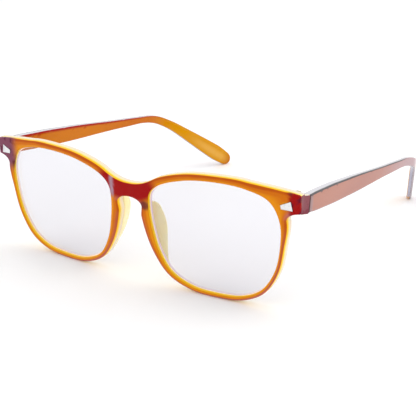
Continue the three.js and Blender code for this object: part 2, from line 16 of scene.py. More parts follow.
import bpy
from mathutils import Matrix, Vector
from mathutils.kdtree import KDTree


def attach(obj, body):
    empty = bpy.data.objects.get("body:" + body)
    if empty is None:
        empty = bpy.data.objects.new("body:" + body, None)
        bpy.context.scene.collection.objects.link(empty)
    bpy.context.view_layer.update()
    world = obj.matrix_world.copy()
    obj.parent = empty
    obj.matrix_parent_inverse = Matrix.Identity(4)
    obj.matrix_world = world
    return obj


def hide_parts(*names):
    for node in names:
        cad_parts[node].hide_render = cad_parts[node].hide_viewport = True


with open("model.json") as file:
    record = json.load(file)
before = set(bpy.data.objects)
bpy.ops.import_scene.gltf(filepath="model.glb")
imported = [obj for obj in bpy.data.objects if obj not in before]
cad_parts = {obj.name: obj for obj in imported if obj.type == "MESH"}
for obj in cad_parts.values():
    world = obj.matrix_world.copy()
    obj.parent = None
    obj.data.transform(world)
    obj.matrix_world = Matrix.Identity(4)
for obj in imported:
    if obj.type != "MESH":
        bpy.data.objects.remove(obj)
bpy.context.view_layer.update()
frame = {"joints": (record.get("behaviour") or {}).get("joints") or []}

SMOOTH_ANGLE = math.radians(32)
TINY = 0.01  # millimetres, less than any step of the shapes
MERGE = 0.0005  # millimetres, less than any two points that stay apart
LEVEL = 1e-6  # millimetres, for points that stand on one line

log = logging.getLogger("spectacles")

Piece = bpy.types.Object
Place = Callable[[Vector, int], Vector]


class Side(Enum):
    """The wearer's side. The value is the sign of x."""

    LEFT = 1
    RIGHT = -1

    @property
    def word(self) -> str:
        """The side's name as the nodes spell it."""
        return self.name.lower()


class Join(Enum):
    """What a boolean does with its tool."""

    ADD = "UNION"
    CUT = "DIFFERENCE"


# ---- Numbers ----
def lerp(low: float, high: float, share: float) -> float:
    """The value that lies a share of the way from low to high."""
    return low + (high - low) * share


def smoothstep(value: float, low: float, high: float) -> float:
    """0 below low, 1 above high and a smooth rise between them."""
    share = min(1.0, max(0.0, (value - low) / (high - low)))
    return share * share * (3 - 2 * share)


def bezier(points: Sequence[Vector], share: float) -> Vector:
    """A point of a cubic or quadratic Bezier curve, by repeated halving.

    Args:
        points: the ends and handles in order.
        share: how far along, from 0 to 1.

    Returns:
        The point.
    """
    level = [Vector(point) for point in points]
    while len(level) > 1:
        level = [a.lerp(b, share) for a, b in zip(level, level[1:])]
    return level[0]


# ---- Modelling by hand, in code ----
def activate(piece: Piece) -> None:
    """Leaves one piece selected and active."""
    bpy.ops.object.select_all(action="DESELECT")
    piece.select_set(True)
    bpy.context.view_layer.objects.active = piece


@contextmanager
def editing(piece: Piece, everything: bool = True) -> Iterator[None]:
    """Edit mode on one piece.

    Args:
        piece: the mesh to edit.
        everything: selects all of it, or keeps the selection made before.
    """
    activate(piece)
    bpy.ops.object.mode_set(mode="EDIT")
    if everything:
        bpy.ops.mesh.select_all(action="SELECT")
    yield
    bpy.ops.object.mode_set(mode="OBJECT")


def started(name: str) -> Piece:
    """Names the primitive that was just added and moves its place into its mesh.

    Args:
        name: the object's name.

    Returns:
        The primitive.
    """
    piece = bpy.context.active_object
    piece.name = name
    piece.data.name = name
    activate(piece)
    bpy.ops.object.transform_apply(location=True, rotation=True, scale=True)
    return piece


def place_vertices(piece: Piece, rule: Place) -> None:
    """Moves every vertex of a piece.

    Args:
        piece: the mesh.
        rule: where a vertex goes, from its place and its number.
    """
    for vertex in piece.data.vertices:
        vertex.co = rule(vertex.co.copy(), vertex.index)
    piece.data.update()


def select_nothing(mesh: bpy.types.Mesh) -> None:
    """Leaves no vertex, edge or face of a mesh selected."""
    for group in (mesh.vertices, mesh.edges, mesh.polygons):
        group.foreach_set("select", [False] * len(group))


def select_edges(piece: Piece, wanted: Callable[[Vector, Vector], bool]) -> None:
    """Selects some edges and nothing else.

    Args:
        piece: the mesh.
        wanted: the test that an edge's two ends have to pass.
    """
    mesh = piece.data
    select_nothing(mesh)
    for edge in mesh.edges:
        start, end = (mesh.vertices[number].co for number in edge.vertices)
        edge.select = wanted(start, end)
    bpy.context.tool_settings.mesh_select_mode = (False, True, False)


def select_faces(piece: Piece, wanted: Callable[[Vector, Vector], bool]) -> None:
    """Selects some faces and nothing else.

    Args:
        piece: the mesh.
        wanted: the test that a face's centre and normal have to pass.
    """
    mesh = piece.data
    select_nothing(mesh)
    for polygon in mesh.polygons:
        polygon.select = wanted(polygon.center, polygon.normal)
    bpy.context.tool_settings.mesh_select_mode = (False, False, True)


def face_outwards(piece: Piece) -> None:
    """Merges doubled vertices and turns every face outwards."""
    with editing(piece):
        bpy.ops.mesh.remove_doubles(threshold=MERGE)
        bpy.ops.mesh.normals_make_consistent(inside=False)


def combine(piece: Piece, tool: Piece, join: Join) -> None:
    """Joins a tool to a piece or cuts it away, and removes the tool.

    Args:
        piece: the mesh that is changed.
        tool: the solid that is joined or cut away.
        join: which of the two.
    """
    activate(piece)
    modifier = piece.modifiers.new("tool", "BOOLEAN")
    modifier.operation = join.value
    modifier.solver = "EXACT"
    modifier.object = tool
    bpy.ops.object.modifier_apply(modifier="tool")
    bpy.data.objects.remove(tool, do_unlink=True)


def block(name: str, low: Sequence[float], high: Sequence[float], radius: float = 0.0) -> Piece:
    """A box between two corners, with its edges rounded.

    Args:
        name: the new object's name.
        low: the lowest corner.
        high: the highest corner.
        radius: of the rounded edges, 0 for a sharp box.

    Returns:
        The box.
    """
    middle = [(a + b) / 2 for a, b in zip(low, high)]
    bpy.ops.mesh.primitive_cube_add(size=1, location=middle)
    bpy.context.active_object.scale = [b - a for a, b in zip(low, high)]
    piece = started(name)
    if radius:
        with editing(piece):
            bpy.ops.mesh.bevel(offset=radius, segments=3, affect="EDGES")
    return piece


def post(
    name: str, radius: float, low: float, high: float, rounding: float = 0.0, sides: int = 48
) -> Piece:
    """An upright round post.

    Args:
        name: the new object's name.
        radius: of the post.
        low: height of its foot.
        high: height of its top.
        rounding: of the rims, 0 for sharp ones.
        sides: facets round it.

    Returns:
        The post.
    """
    bpy.ops.mesh.primitive_cylinder_add(
        vertices=sides, radius=radius, depth=high - low, location=(0, 0, (low + high) / 2)
    )
    piece = started(name)
    if rounding:
        select_edges(piece, lambda start, end: abs(start.z - end.z) < LEVEL)
        with editing(piece, everything=False):
            bpy.ops.mesh.bevel(offset=rounding, segments=3, affect="EDGES")
    return piece


def tube_of_rings(name: str, rings: Sequence[Sequence[Vector]], ends: tuple[Vector, Vector]) -> Piece:
    """A closed skin over rings of points, drawn from a sphere whose circles take the rings' places.

    Args:
        name: the new object's name.
        rings: the rings in order, each with as many points.
        ends: the two points that close it, before the first ring and after the last.

    Returns:
        The skin.
    """
    sides, turns = len(rings[0]), len(rings) + 1
    bpy.ops.mesh.primitive_uv_sphere_add(segments=sides, ring_count=turns, radius=1)
    piece = started(name)

    def rule(at: Vector, _number: int) -> Vector:
        """The place that a point of the sphere takes, by its circle and its turn round it."""
        turn = round(math.acos(max(-1.0, min(1.0, at.z))) / math.pi * turns)
        if turn in (0, turns):
            return ends[0] if turn == 0 else ends[1]
        return rings[turn - 1][round(math.atan2(at.y, at.x) / math.tau * sides) % sides]

    place_vertices(piece, rule)
    face_outwards(piece)
    return piece


class Marks:
    """Numbers kept at points, and found again at the nearest point."""

    def __init__(self) -> None:
        """Starts with no points."""
        self.points: list[Vector] = []
        self.numbers: list[tuple[float, ...]] = []
        self.tree: KDTree | None = None

    def add(self, point: Vector, numbers: tuple[float, ...]) -> None:
        """Keeps numbers at a point.

        Args:
            point: the point.
            numbers: what is kept there.
        """
        self.points.append(point)
        self.numbers.append(numbers)

    def at(self, point: Vector) -> tuple[float, ...]:
        """Looks numbers up.

        Args:
            point: any point.

        Returns:
            The numbers of the kept point that is nearest to it.
        """
        if self.tree is None:
            self.tree = KDTree(len(self.points))
            for number, kept in enumerate(self.points):
                self.tree.insert(kept, number)
            self.tree.balance()
        return self.numbers[self.tree.find(point)[1]]


def mirror_image(piece: Piece, name: str) -> Piece:
    """Copies a piece to the other side of x = 0.

    Args:
        piece: the piece.
        name: the copy's name.

    Returns:
        The copy, which has its own mesh.
    """
    activate(piece)
    bpy.ops.object.duplicate(linked=False)
    copy = bpy.context.active_object
    copy.name = name
    copy.data.name = name
    with editing(copy):
        bpy.ops.transform.resize(value=(-1, 1, 1), center_override=(0, 0, 0))
        bpy.ops.mesh.normals_make_consistent(inside=False)
    return copy


def paint(piece: Piece, name: str, numbers: Iterable[float]) -> None:
    """Writes a number on each vertex, which a material can read.

    Args:
        piece: the mesh.
        name: the attribute's name.
        numbers: one for each vertex, in order.
    """
    layer = piece.data.attributes.new(name, "FLOAT", "POINT")
    layer.data.foreach_set("value", list(numbers))


def paint_by_place(piece: Piece, name: str, rule: Callable[[Vector], float]) -> None:
    """Writes a number on each vertex by its place.

    Args:
        piece: the mesh.
        name: the attribute's name.
        rule: the number for a place in millimetres.
    """
    paint(piece, name, (rule(vertex.co) for vertex in piece.data.vertices))


# ---- Materials ----
Colour = tuple[float, float, float]
Band = tuple[float, float]
Socket = bpy.types.NodeSocket

EVEN: Colour = (1, 1, 1)
MIDDLE: Band = (0.3, 0.7)


class Mixer:
    """A material's nodes, added and linked one at a time."""

    def __init__(self, name: str) -> None:
        """Starts a material that has a Principled shader and an output.

        Args:
            name: the material's name.
        """
        self.material = bpy.data.materials.new(name)
        self.material.use_nodes = True
        self.tree = self.material.node_tree
        self.tree.nodes.clear()
        self.output = self.add("ShaderNodeOutputMaterial")
        self.shader = self.add("ShaderNodeBsdfPrincipled")
        self.tree.links.new(self.shader.outputs["BSDF"], self.output.inputs["Surface"])

    def add(self, kind: str) -> bpy.types.Node:
        """A new node of a kind."""
        return self.tree.nodes.new(kind)

    def link(self, source: Socket, socket: str) -> None:
        """Links a source to one of the shader's sockets."""
        self.tree.links.new(source, self.shader.inputs[socket])

    def set(self, **values: float | Colour) -> None:
        """Sets the shader's own sockets.

        Args:
            **values: what each is set to. An underscore in a name stands for a space.
        """
        for name, value in values.items():
            socket = self.shader.inputs[name.replace("_", " ")]
            socket.default_value = (*value, 1.0) if isinstance(value, tuple) else value

    def place(self) -> Socket:
        """The point of the surface, in the row frame."""
        return self.add("ShaderNodeTexCoord").outputs["Object"]

    def painted(self, name: str) -> Socket:
        """A number that was written on the vertices."""
        node = self.add("ShaderNodeAttribute")
        node.attribute_name = name
        return node.outputs["Fac"]

    def noise(self, scale: float, detail: float = 3.0, stretch: Colour = EVEN) -> Socket:
        """Noise over the surface.

        Args:
            scale: how fine, in turns to the metre.
            detail: octaves.
            stretch: the pattern's scale along each axis.

        Returns:
            The noise's value, from 0 to 1.
        """
        mapping = self.add("ShaderNodeMapping")
        mapping.inputs["Scale"].default_value = stretch
        self.tree.links.new(self.place(), mapping.inputs["Vector"])
        node = self.add("ShaderNodeTexNoise")
        node.inputs["Scale"].default_value = scale
        node.inputs["Detail"].default_value = detail
        self.tree.links.new(mapping.outputs["Vector"], node.inputs["Vector"])
        return node.outputs["Fac"]

    def maths(self, kind: str, first: Socket, second: Socket) -> Socket:
        """A step of arithmetic.

        Args:
            kind: the operation's name.
            first: the number it starts from.
            second: the number that is added, taken away or multiplied by.

        Returns:
            The result.
        """
        node = self.add("ShaderNodeMath")
        node.operation = kind
        for number, source in enumerate((first, second)):
            self.tree.links.new(source, node.inputs[number])
        return node.outputs[0]

    def spread(self, source: Socket, band: Band, to: Band = (0, 1)) -> Socket:
        """Eases one band of a source's values over another.

        Args:
            source: the number.
            band: the two values between which it counts.
            to: what those two become.

        Returns:
            The eased number.
        """
        node = self.add("ShaderNodeMapRange")
        node.interpolation_type = "SMOOTHSTEP"
        for name, value in zip(("From Min", "From Max", "To Min", "To Max"), (*band, *to)):
            node.inputs[name].default_value = value
        self.tree.links.new(source, node.inputs["Value"])
        return node.outputs["Result"]

    def blend(self, share: Socket, low: Socket | Colour, high: Socket | Colour) -> Socket:
        """A mix of two colours, each a plain colour or a node's.

        Args:
            share: how much of the second colour there is.
            low: the first colour.
            high: the second colour.

        Returns:
            The mixed colour.
        """
        node = self.add("ShaderNodeMix")
        node.data_type = "RGBA"
        self.tree.links.new(share, node.inputs[0])
        for socket, colour in ((node.inputs[6], low), (node.inputs[7], high)):
            if isinstance(colour, tuple):
                socket.default_value = (*colour, 1.0)
            else:
                self.tree.links.new(colour, socket)
        return node.outputs[2]

    def polish(self, grain: float, gloss: Band) -> None:
        """Makes the surface a little less smooth in some spots than in others.

        Args:
            grain: how fine those spots are, in turns to the metre.
            gloss: the lowest and the highest roughness.
        """
        self.link(self.spread(self.noise(grain, 2), MIDDLE, gloss), "Roughness")

    def soften(self, weight: float, reach: float, colours: Colour) -> None:
        """Lets light spread just under the surface.

        Args:
            weight: how much of it does.
            reach: how far it goes, in metres.
            colours: the share of that way that red, green and blue go.
        """
        self.set(Subsurface_Weight=weight, Subsurface_Scale=reach)
        self.shader.inputs["Subsurface Radius"].default_value = colours

    def bump(self, source: Socket, strength: float, distance: float) -> None:
        """Raises the surface by a source.

        Args:
            source: the height's share.
            strength: how much of it shows.
            distance: the full height, in metres.
        """
        node = self.add("ShaderNodeBump")
        node.inputs["Strength"].default_value = strength
        node.inputs["Distance"].default_value = distance
        self.tree.links.new(source, node.inputs["Height"])
        self.link(node.outputs["Normal"], "Normal")

    def absorb(self, colour: Colour, density: float) -> None:
        """Fills the piece with a tint that deepens with the length of the way through it.

        Args:
            colour: what is left of white light.
            density: how fast it deepens.
        """
        node = self.add("ShaderNodeVolumeAbsorption")
        node.inputs["Color"].default_value = (*colour, 1.0)
        node.inputs["Density"].default_value = density
        self.tree.links.new(node.outputs["Volume"], self.output.inputs["Volume"])


@dataclass(frozen=True)
class BrownLayer:
    """The thin brown layer on the front.

    It is orange brown, golden at its rims, deep red at the bridge and dark at the corners. On the corner at
    the wearer's right the dark is partly painted shade and a painted purple reflection. A painted lilac
    highlight beside the bridge, painted shade in the notch under it and a painted mauve reflection along the
    lower outer edges are mixed in as well. Its shares run from 0 at the opening to 1 at the outer edge.
    """

    name: str = "brown layer"
    inner: Colour = (0.73, 0.25, 0.003)
    body: Colour = (0.60, 0.145, 0.001)
    outer: Colour = (0.47, 0.078, 0.001)
    # painted mauve reflection on the outer edges that face down
    under: Colour = (0.50, 0.14, 0.12)
    deep: Colour = (0.33, 0.0008, 0.0008)
    # the corner at the wearer's right: painted shade and a painted purple reflection
    plum: Colour = (0.20, 0.055, 0.095)
    # dark spots at random, and also the painted shade in the notch under the bridge
    blotch: Colour = (0.08, 0.002, 0.022)
    # painted lilac highlight beside the bridge
    lilac: Colour = (0.40, 0.29, 0.37)
    rim: Colour = (0.98, 0.55, 0.008)
    inner_share: Band = (0.0, 0.45)
    outer_share: Band = (0.6, 1.0)
    wander: Band = (-0.14, 0.14)
    wander_scale: float = 70
    blotch_scale: float = 330
    blotch_band: Band = (0.5, 0.62)
    blotch_most: float = 0.75
    rim_band: Band = (0.15, 0.9)
    grain: float = 900
    gloss: Band = (0.06, 0.12)

    def material(self) -> bpy.types.Material:
        """Builds the material."""
        mixer = Mixer(self.name)
        wander = mixer.spread(mixer.noise(self.wander_scale, stretch=(1, 0.4, 1)), MIDDLE, self.wander)
        share = mixer.maths("ADD", mixer.painted("share"), wander)
        colour = mixer.blend(mixer.spread(share, self.inner_share), self.inner, self.body)
        colour = mixer.blend(mixer.spread(share, self.outer_share), colour, self.outer)
        # painted reflection: mauve on the outer edges that face down
        colour = mixer.blend(mixer.painted("under"), colour, self.under)
        blotches = mixer.spread(mixer.noise(self.blotch_scale), self.blotch_band, (0, self.blotch_most))
        left, right = mixer.painted("left_corner"), mixer.painted("right_corner")
        colour = mixer.blend(mixer.painted("bridge"), colour, self.deep)
        colour = mixer.blend(left, colour, mixer.blend(blotches, self.deep, self.blotch))
        # the corner at the wearer's right: deeper brown, with painted shade and reflection
        colour = mixer.blend(right, colour, mixer.blend(blotches, self.plum, self.blotch))
        # painted lilac highlight beside the bridge
        colour = mixer.blend(mixer.painted("glint"), colour, self.lilac)
        # painted shade in the notch under the bridge
        colour = mixer.blend(mixer.painted("notch"), colour, self.blotch)
        edge = mixer.spread(mixer.painted("wall"), self.rim_band)
        edge = mixer.maths("SUBTRACT", mixer.maths("SUBTRACT", edge, left), right)
        mixer.link(mixer.blend(edge, colour, self.rim), "Base Color")
        mixer.polish(self.grain, self.gloss)
        mixer.set(IOR=1.5, Specular_IOR_Level=0.1)
        return mixer.material


@dataclass(frozen=True)
class AmberPlastic:
    """The clear amber plastic under the brown layer: gold beside the layer, pale cream further back.

    Its depths run from 0 beside the brown layer to 1 at the back. On the wall round the lens opening the
    same
    colours are painted lighter: painted light for the light that the clear plastic lets through there.
    """

    name: str = "amber plastic"
    near: Colour = (1.0, 0.66, 0.012)
    middle: Colour = (0.97, 0.76, 0.34)
    far: Colour = (0.80, 0.70, 0.58)
    # lighter copies of near and far, painted light for the wall round the lens opening
    wall_near: Colour = (1.0, 0.82, 0.07)
    wall_far: Colour = (1.0, 0.93, 0.66)
    behind: Colour = (0.78, 0.30, 0.02)
    near_depth: Band = (0.0, 0.32)
    far_depth: Band = (0.2, 0.6)
    wall_depth: Band = (0.0, 0.3)
    wall_share: Band = (0.0, 0.1)
    behind_band: Band = (0.1, 0.9)
    veil_scale: float = 140
    veil_band: Band = (0.3, 0.75)
    veil_most: float = 0.25
    grain: float = 700
    gloss: Band = (0.03, 0.09)
    reach: float = 0.0015
    reach_colours: Colour = (1.0, 0.75, 0.3)

    def material(self) -> bpy.types.Material:
        """Builds the material."""
        mixer = Mixer(self.name)
        depth = mixer.painted("depth")
        colour = mixer.blend(mixer.spread(depth, self.near_depth), self.near, self.middle)
        colour = mixer.blend(mixer.spread(depth, self.far_depth), colour, self.far)
        # painted light: the wall round the lens opening gets lighter colours
        wall = mixer.blend(mixer.spread(depth, self.wall_depth), self.wall_near, self.wall_far)
        colour = mixer.blend(mixer.spread(mixer.painted("share"), self.wall_share, (1, 0)), colour, wall)
        veil = mixer.spread(mixer.noise(self.veil_scale), self.veil_band, (0, self.veil_most))
        colour = mixer.blend(veil, colour, self.middle)
        colour = mixer.blend(mixer.spread(mixer.painted("back"), self.behind_band), colour, self.behind)
        mixer.link(colour, "Base Color")
        mixer.polish(self.grain, self.gloss)
        mixer.set(IOR=1.49, Specular_IOR_Level=0.4)
        mixer.soften(0.3, self.reach, self.reach_colours)
        return mixer.material


@dataclass(frozen=True)
class TempleLayer:
    """The brown outer layer of a temple.

    It is rosy brown on its broad side and nearly black along its upper edge, where the dark is painted shade
    for the light that the clear core bends away there. Towards the tip a painted lavender reflection comes
    in, and the hinge end is painted dark as the shade in the hinge gap. Its shares run from 0 at the hinge
    to 1 at the tip.
    """

    name: str = "temple layer"
    body: Colour = (0.44, 0.150, 0.088)
    shade: Colour = (0.37, 0.115, 0.075)
    # painted lavender reflection towards the tip
    far: Colour = (0.40, 0.235, 0.25)
    butt: Colour = (0.27, 0.17, 0.18)
    # painted shade along the upper edge
    edge: Colour = (0.016, 0.003, 0.010)
    keel: Colour = (0.30, 0.25, 0.28)
    # painted shade at the hinge end, in the hinge gap
    gap: Colour = (0.045, 0.016, 0.013)
    cloud_scale: float = 45
    cloud_band: Band = (0.35, 0.7)
    far_share: Band = (0.36, 0.64)
    butt_share: Band = (0.008, 0.02)
    butt_most: float = 0.8
    gap_share: Band = (0.0005, 0.003)
    edge_band: Band = (0.2, 0.8)
    grain: float = 900
    gloss: Band = (0.08, 0.14)

    def material(self) -> bpy.types.Material:
        """Builds the material."""
        mixer = Mixer(self.name)
        cloud = mixer.spread(mixer.noise(self.cloud_scale, stretch=(1, 0.25, 1)), self.cloud_band)
        colour = mixer.blend(cloud, self.body, self.shade)
        along = mixer.painted("along")
        # painted lavender reflection towards the tip
        colour = mixer.blend(mixer.spread(along, self.far_share), colour, self.far)
        colour = mixer.blend(mixer.spread(along, self.butt_share, (self.butt_most, 0)), colour, self.butt)
        colour = mixer.blend(mixer.painted("keel"), colour, self.keel)
        # painted shade along the upper edge
        colour = mixer.blend(mixer.spread(mixer.painted("wall"), self.edge_band), colour, self.edge)
        # painted shade at the hinge end
        colour = mixer.blend(mixer.spread(along, self.gap_share, (1, 0)), colour, self.gap)
        mixer.link(colour, "Base Color")
        mixer.polish(self.grain, self.gloss)
        mixer.set(IOR=1.5, Coat_Weight=0.25, Coat_Roughness=0.03)
        return mixer.material


@dataclass(frozen=True)
class PaintedShadeButt:
    """The end block's sawn butt, painted dark brown as the shade in the hinge gap, and barely polished."""

    name: str = "butt face"
    # painted shade of the hinge gap
    dark: Colour = (0.045, 0.016, 0.013)
    worn: Colour = (0.075, 0.028, 0.020)
    worn_scale: float = 800
    worn_band: Band = (0.4, 0.7)
    grain: float = 2000
    gloss: Band = (0.3, 0.45)

    def material(self) -> bpy.types.Material:
        """Builds the material."""
        mixer = Mixer(self.name)
        worn = mixer.spread(mixer.noise(self.worn_scale), self.worn_band)
        mixer.link(mixer.blend(worn, self.dark, self.worn), "Base Color")
        mixer.polish(self.grain, self.gloss)
        return mixer.material


@dataclass(frozen=True)
class TempleCore:
    """The clear part of a temple: orange where the brown layer shows through it, golden at the tip, and
    painted dark at the hinge end as the shade in the hinge gap.

    Its shares run from 0 at the hinge to 1 at the tip.
    """

    name: str = "temple core"
    straight: Colour = (0.53, 0.125, 0.001)
    glow: Colour = (0.60, 0.175, 0.002)
    tip: Colour = (0.64, 0.27, 0.002)
    streak: Colour = (0.74, 0.40, 0.07)
    ember: Colour = (0.52, 0.16, 0.003)
    clear: Colour = (0.62, 0.61, 0.65)
    clear_tip: Colour = (0.40, 0.38, 0.47)
    amber_end: Colour = (0.80, 0.40, 0.12)
    red: Colour = (0.36, 0.001, 0.001)
    # painted shade at the hinge end, in the hinge gap
    gap: Colour = (0.045, 0.016, 0.013)
    glow_scale: float = 60
    glow_band: Band = (0.35, 0.7)
    tip_share: Band = (0.58, 0.76)
    ember_share: Band = (0.955, 1.0)
    red_share: Band = (0.5, 0.72)
    clear_share: Band = (0.6, 0.76)
    amber_share: Band = (0.94, 0.975)
    gap_share: Band = (0.0005, 0.003)
    grain: float = 700
    gloss: Band = (0.05, 0.11)

    def material(self) -> bpy.types.Material:
        """Builds the material."""
        mixer = Mixer(self.name)
        along = mixer.painted("along")
        glow = mixer.spread(mixer.noise(self.glow_scale, stretch=(1, 0.3, 1)), self.glow_band)
        colour = mixer.blend(glow, self.straight, self.glow)
        colour = mixer.blend(mixer.spread(along, self.tip_share), colour, self.tip)
        colour = mixer.blend(mixer.painted("streak"), colour, self.streak)
        colour = mixer.blend(mixer.spread(along, self.ember_share), colour, self.ember)
        line = mixer.maths("MULTIPLY", mixer.painted("brow"), mixer.spread(along, self.red_share, (1, 0)))
        colour = mixer.blend(line, colour, self.red)
        clear = mixer.blend(mixer.spread(along, self.clear_share), self.clear, self.clear_tip)
        clear = mixer.blend(mixer.spread(along, self.amber_share), clear, self.amber_end)
        colour = mixer.blend(mixer.painted("top"), colour, clear)
        # painted shade at the hinge end
        colour = mixer.blend(mixer.spread(along, self.gap_share, (1, 0)), colour, self.gap)
        mixer.link(colour, "Base Color")
        mixer.polish(self.grain, self.gloss)
        mixer.set(IOR=1.49, Specular_IOR_Level=0.14)
        return mixer.material


@dataclass(frozen=True)
class LensPlastic:
    """Clear coated lens."""

    name: str = "coated lens"
    clear: Colour = (0.985, 0.985, 0.995)
    faint: Colour = (0.96, 0.96, 0.985)
    faint_scale: float = 30
    faint_most: float = 0.2
    tint: Colour = (0.90, 0.90, 0.92)
    tint_density: float = 680.0
    coating: float = 330.0

    def material(self) -> bpy.types.Material:
        """Builds the material."""
        mixer = Mixer(self.name)
        faint = mixer.spread(mixer.noise(self.faint_scale, 2), MIDDLE, (0, self.faint_most))
        mixer.link(mixer.blend(faint, self.clear, self.faint), "Base Color")
        mixer.set(Roughness=0.0, IOR=1.5, Transmission_Weight=1.0)
        mixer.set(Thin_Film_Thickness=self.coating, Thin_Film_IOR=1.38)
        mixer.absorb(self.tint, self.tint_density)
        return mixer.material


@dataclass(frozen=True)
class GroundEdge:
    """The lens's ground edge: a fine frosting, salmon to lilac.

    Its faint glow is painted: an emission that stands in for the light that the clear plastic round it lets
    in.
    """

    name: str = "ground lens edge"
    piped: float = 0.4
    salmon: Colour = (0.96, 0.76, 0.72)
    lilac: Colour = (0.78, 0.70, 0.88)
    lilac_scale: float = 35
    lilac_band: Band = (0.4, 0.6)
    grain: float = 3000
    gloss: Band = (0.35, 0.5)
    frosting: float = 0.00002

    def material(self) -> bpy.types.Material:
        """Builds the material."""
        mixer = Mixer(self.name)
        lilac = mixer.spread(mixer.noise(self.lilac_scale, 2), self.lilac_band)
        mixer.link(mixer.blend(lilac, self.salmon, self.lilac), "Base Color")
        mixer.polish(self.grain, self.gloss)
        mixer.bump(mixer.noise(self.grain, 2), 0.1, self.frosting)
        # painted glow: the edge emits light though it is no lamp
        mixer.set(Emission_Color=self.salmon, Emission_Strength=self.piped)
        return mixer.material


@dataclass(frozen=True)
class PadPlastic:
    """Pale yellow clear plastic of the nose pads."""

    name: str = "pad plastic"
    body: Colour = (1.0, 0.84, 0.44)
    pale: Colour = (1.0, 0.89, 0.53)
    edge: Colour = (0.62, 0.50, 0.55)
    pale_scale: float = 120
    pale_band: Band = (0.35, 0.7)
    grain: float = 800
    gloss: Band = (0.10, 0.18)
    reach: float = 0.002
    reach_colours: Colour = (1.0, 0.8, 0.4)

    def material(self) -> bpy.types.Material:
        """Builds the material."""
        mixer = Mixer(self.name)
        pale = mixer.spread(mixer.noise(self.pale_scale), self.pale_band)
        colour = mixer.blend(pale, self.body, self.pale)
        mixer.link(mixer.blend(mixer.painted("outline"), colour, self.edge), "Base Color")
        mixer.polish(self.grain, self.gloss)
        mixer.set(IOR=1.49, Specular_IOR_Level=0.35)
        mixer.soften(0.3, self.reach, self.reach_colours)
        return mixer.material


@dataclass(frozen=True)
class Metal:
    """A plated metal with a fine brushed grain.

    The grain runs along x: it is stretched by `grain` the other ways.
    """

    name: str
    colour: Colour
    dull: Colour
    roughness: Band
    grain: Colour = (0.2, 1, 1)
    grain_scale: float = 6000
    grain_height: float = 0.00002
    dull_scale: float = 900
    dull_band: Band = (0.45, 0.8)

    def material(self) -> bpy.types.Material:
        """Builds the material."""
        mixer = Mixer(self.name)
        brushed = mixer.noise(self.grain_scale, 2, self.grain)
        dull = mixer.spread(mixer.noise(self.dull_scale), self.dull_band)
        mixer.link(mixer.blend(dull, self.colour, self.dull), "Base Color")
        mixer.link(mixer.spread(brushed, MIDDLE, self.roughness), "Roughness")
        mixer.set(Metallic=1.0)
        mixer.bump(brushed, 0.15, self.grain_height)
        return mixer.material


@dataclass(frozen=True)
class StudioFloor:
    """The pale floor, with the faintest unevenness."""

    name: str = "studio floor"
    white: Colour = (0.97, 0.97, 0.97)
    uneven: Colour = (0.96, 0.96, 0.965)
    uneven_scale: float = 4

    def material(self) -> bpy.types.Material:
        """Builds the material."""
        mixer = Mixer(self.name)
        mixer.link(mixer.blend(mixer.noise(self.uneven_scale, 2), self.white, self.uneven), "Base Color")
        mixer.set(Roughness=0.8, Specular_IOR_Level=0.1)
        return mixer.material


HINGE_METAL = Metal("hinge brass", (0.82, 0.60, 0.26), (0.62, 0.42, 0.17), (0.16, 0.32))
SCREW_METAL = Metal("screw brass", (0.88, 0.70, 0.38), (0.70, 0.52, 0.25), (0.12, 0.26), (1, 0.3, 1))
PLAQUE_METAL = Metal("plaque silver", (0.78, 0.78, 0.79), (0.56, 0.56, 0.60), (0.12, 0.26))


def dress(piece: Piece, *materials: bpy.types.Material) -> None:
    """Gives a piece its materials, and nothing else.

    Args:
        piece: the mesh.
        *materials: in the order of its faces' material numbers.
    """
    piece.data.materials.clear()
    for material in materials:
        piece.data.materials.append(material)


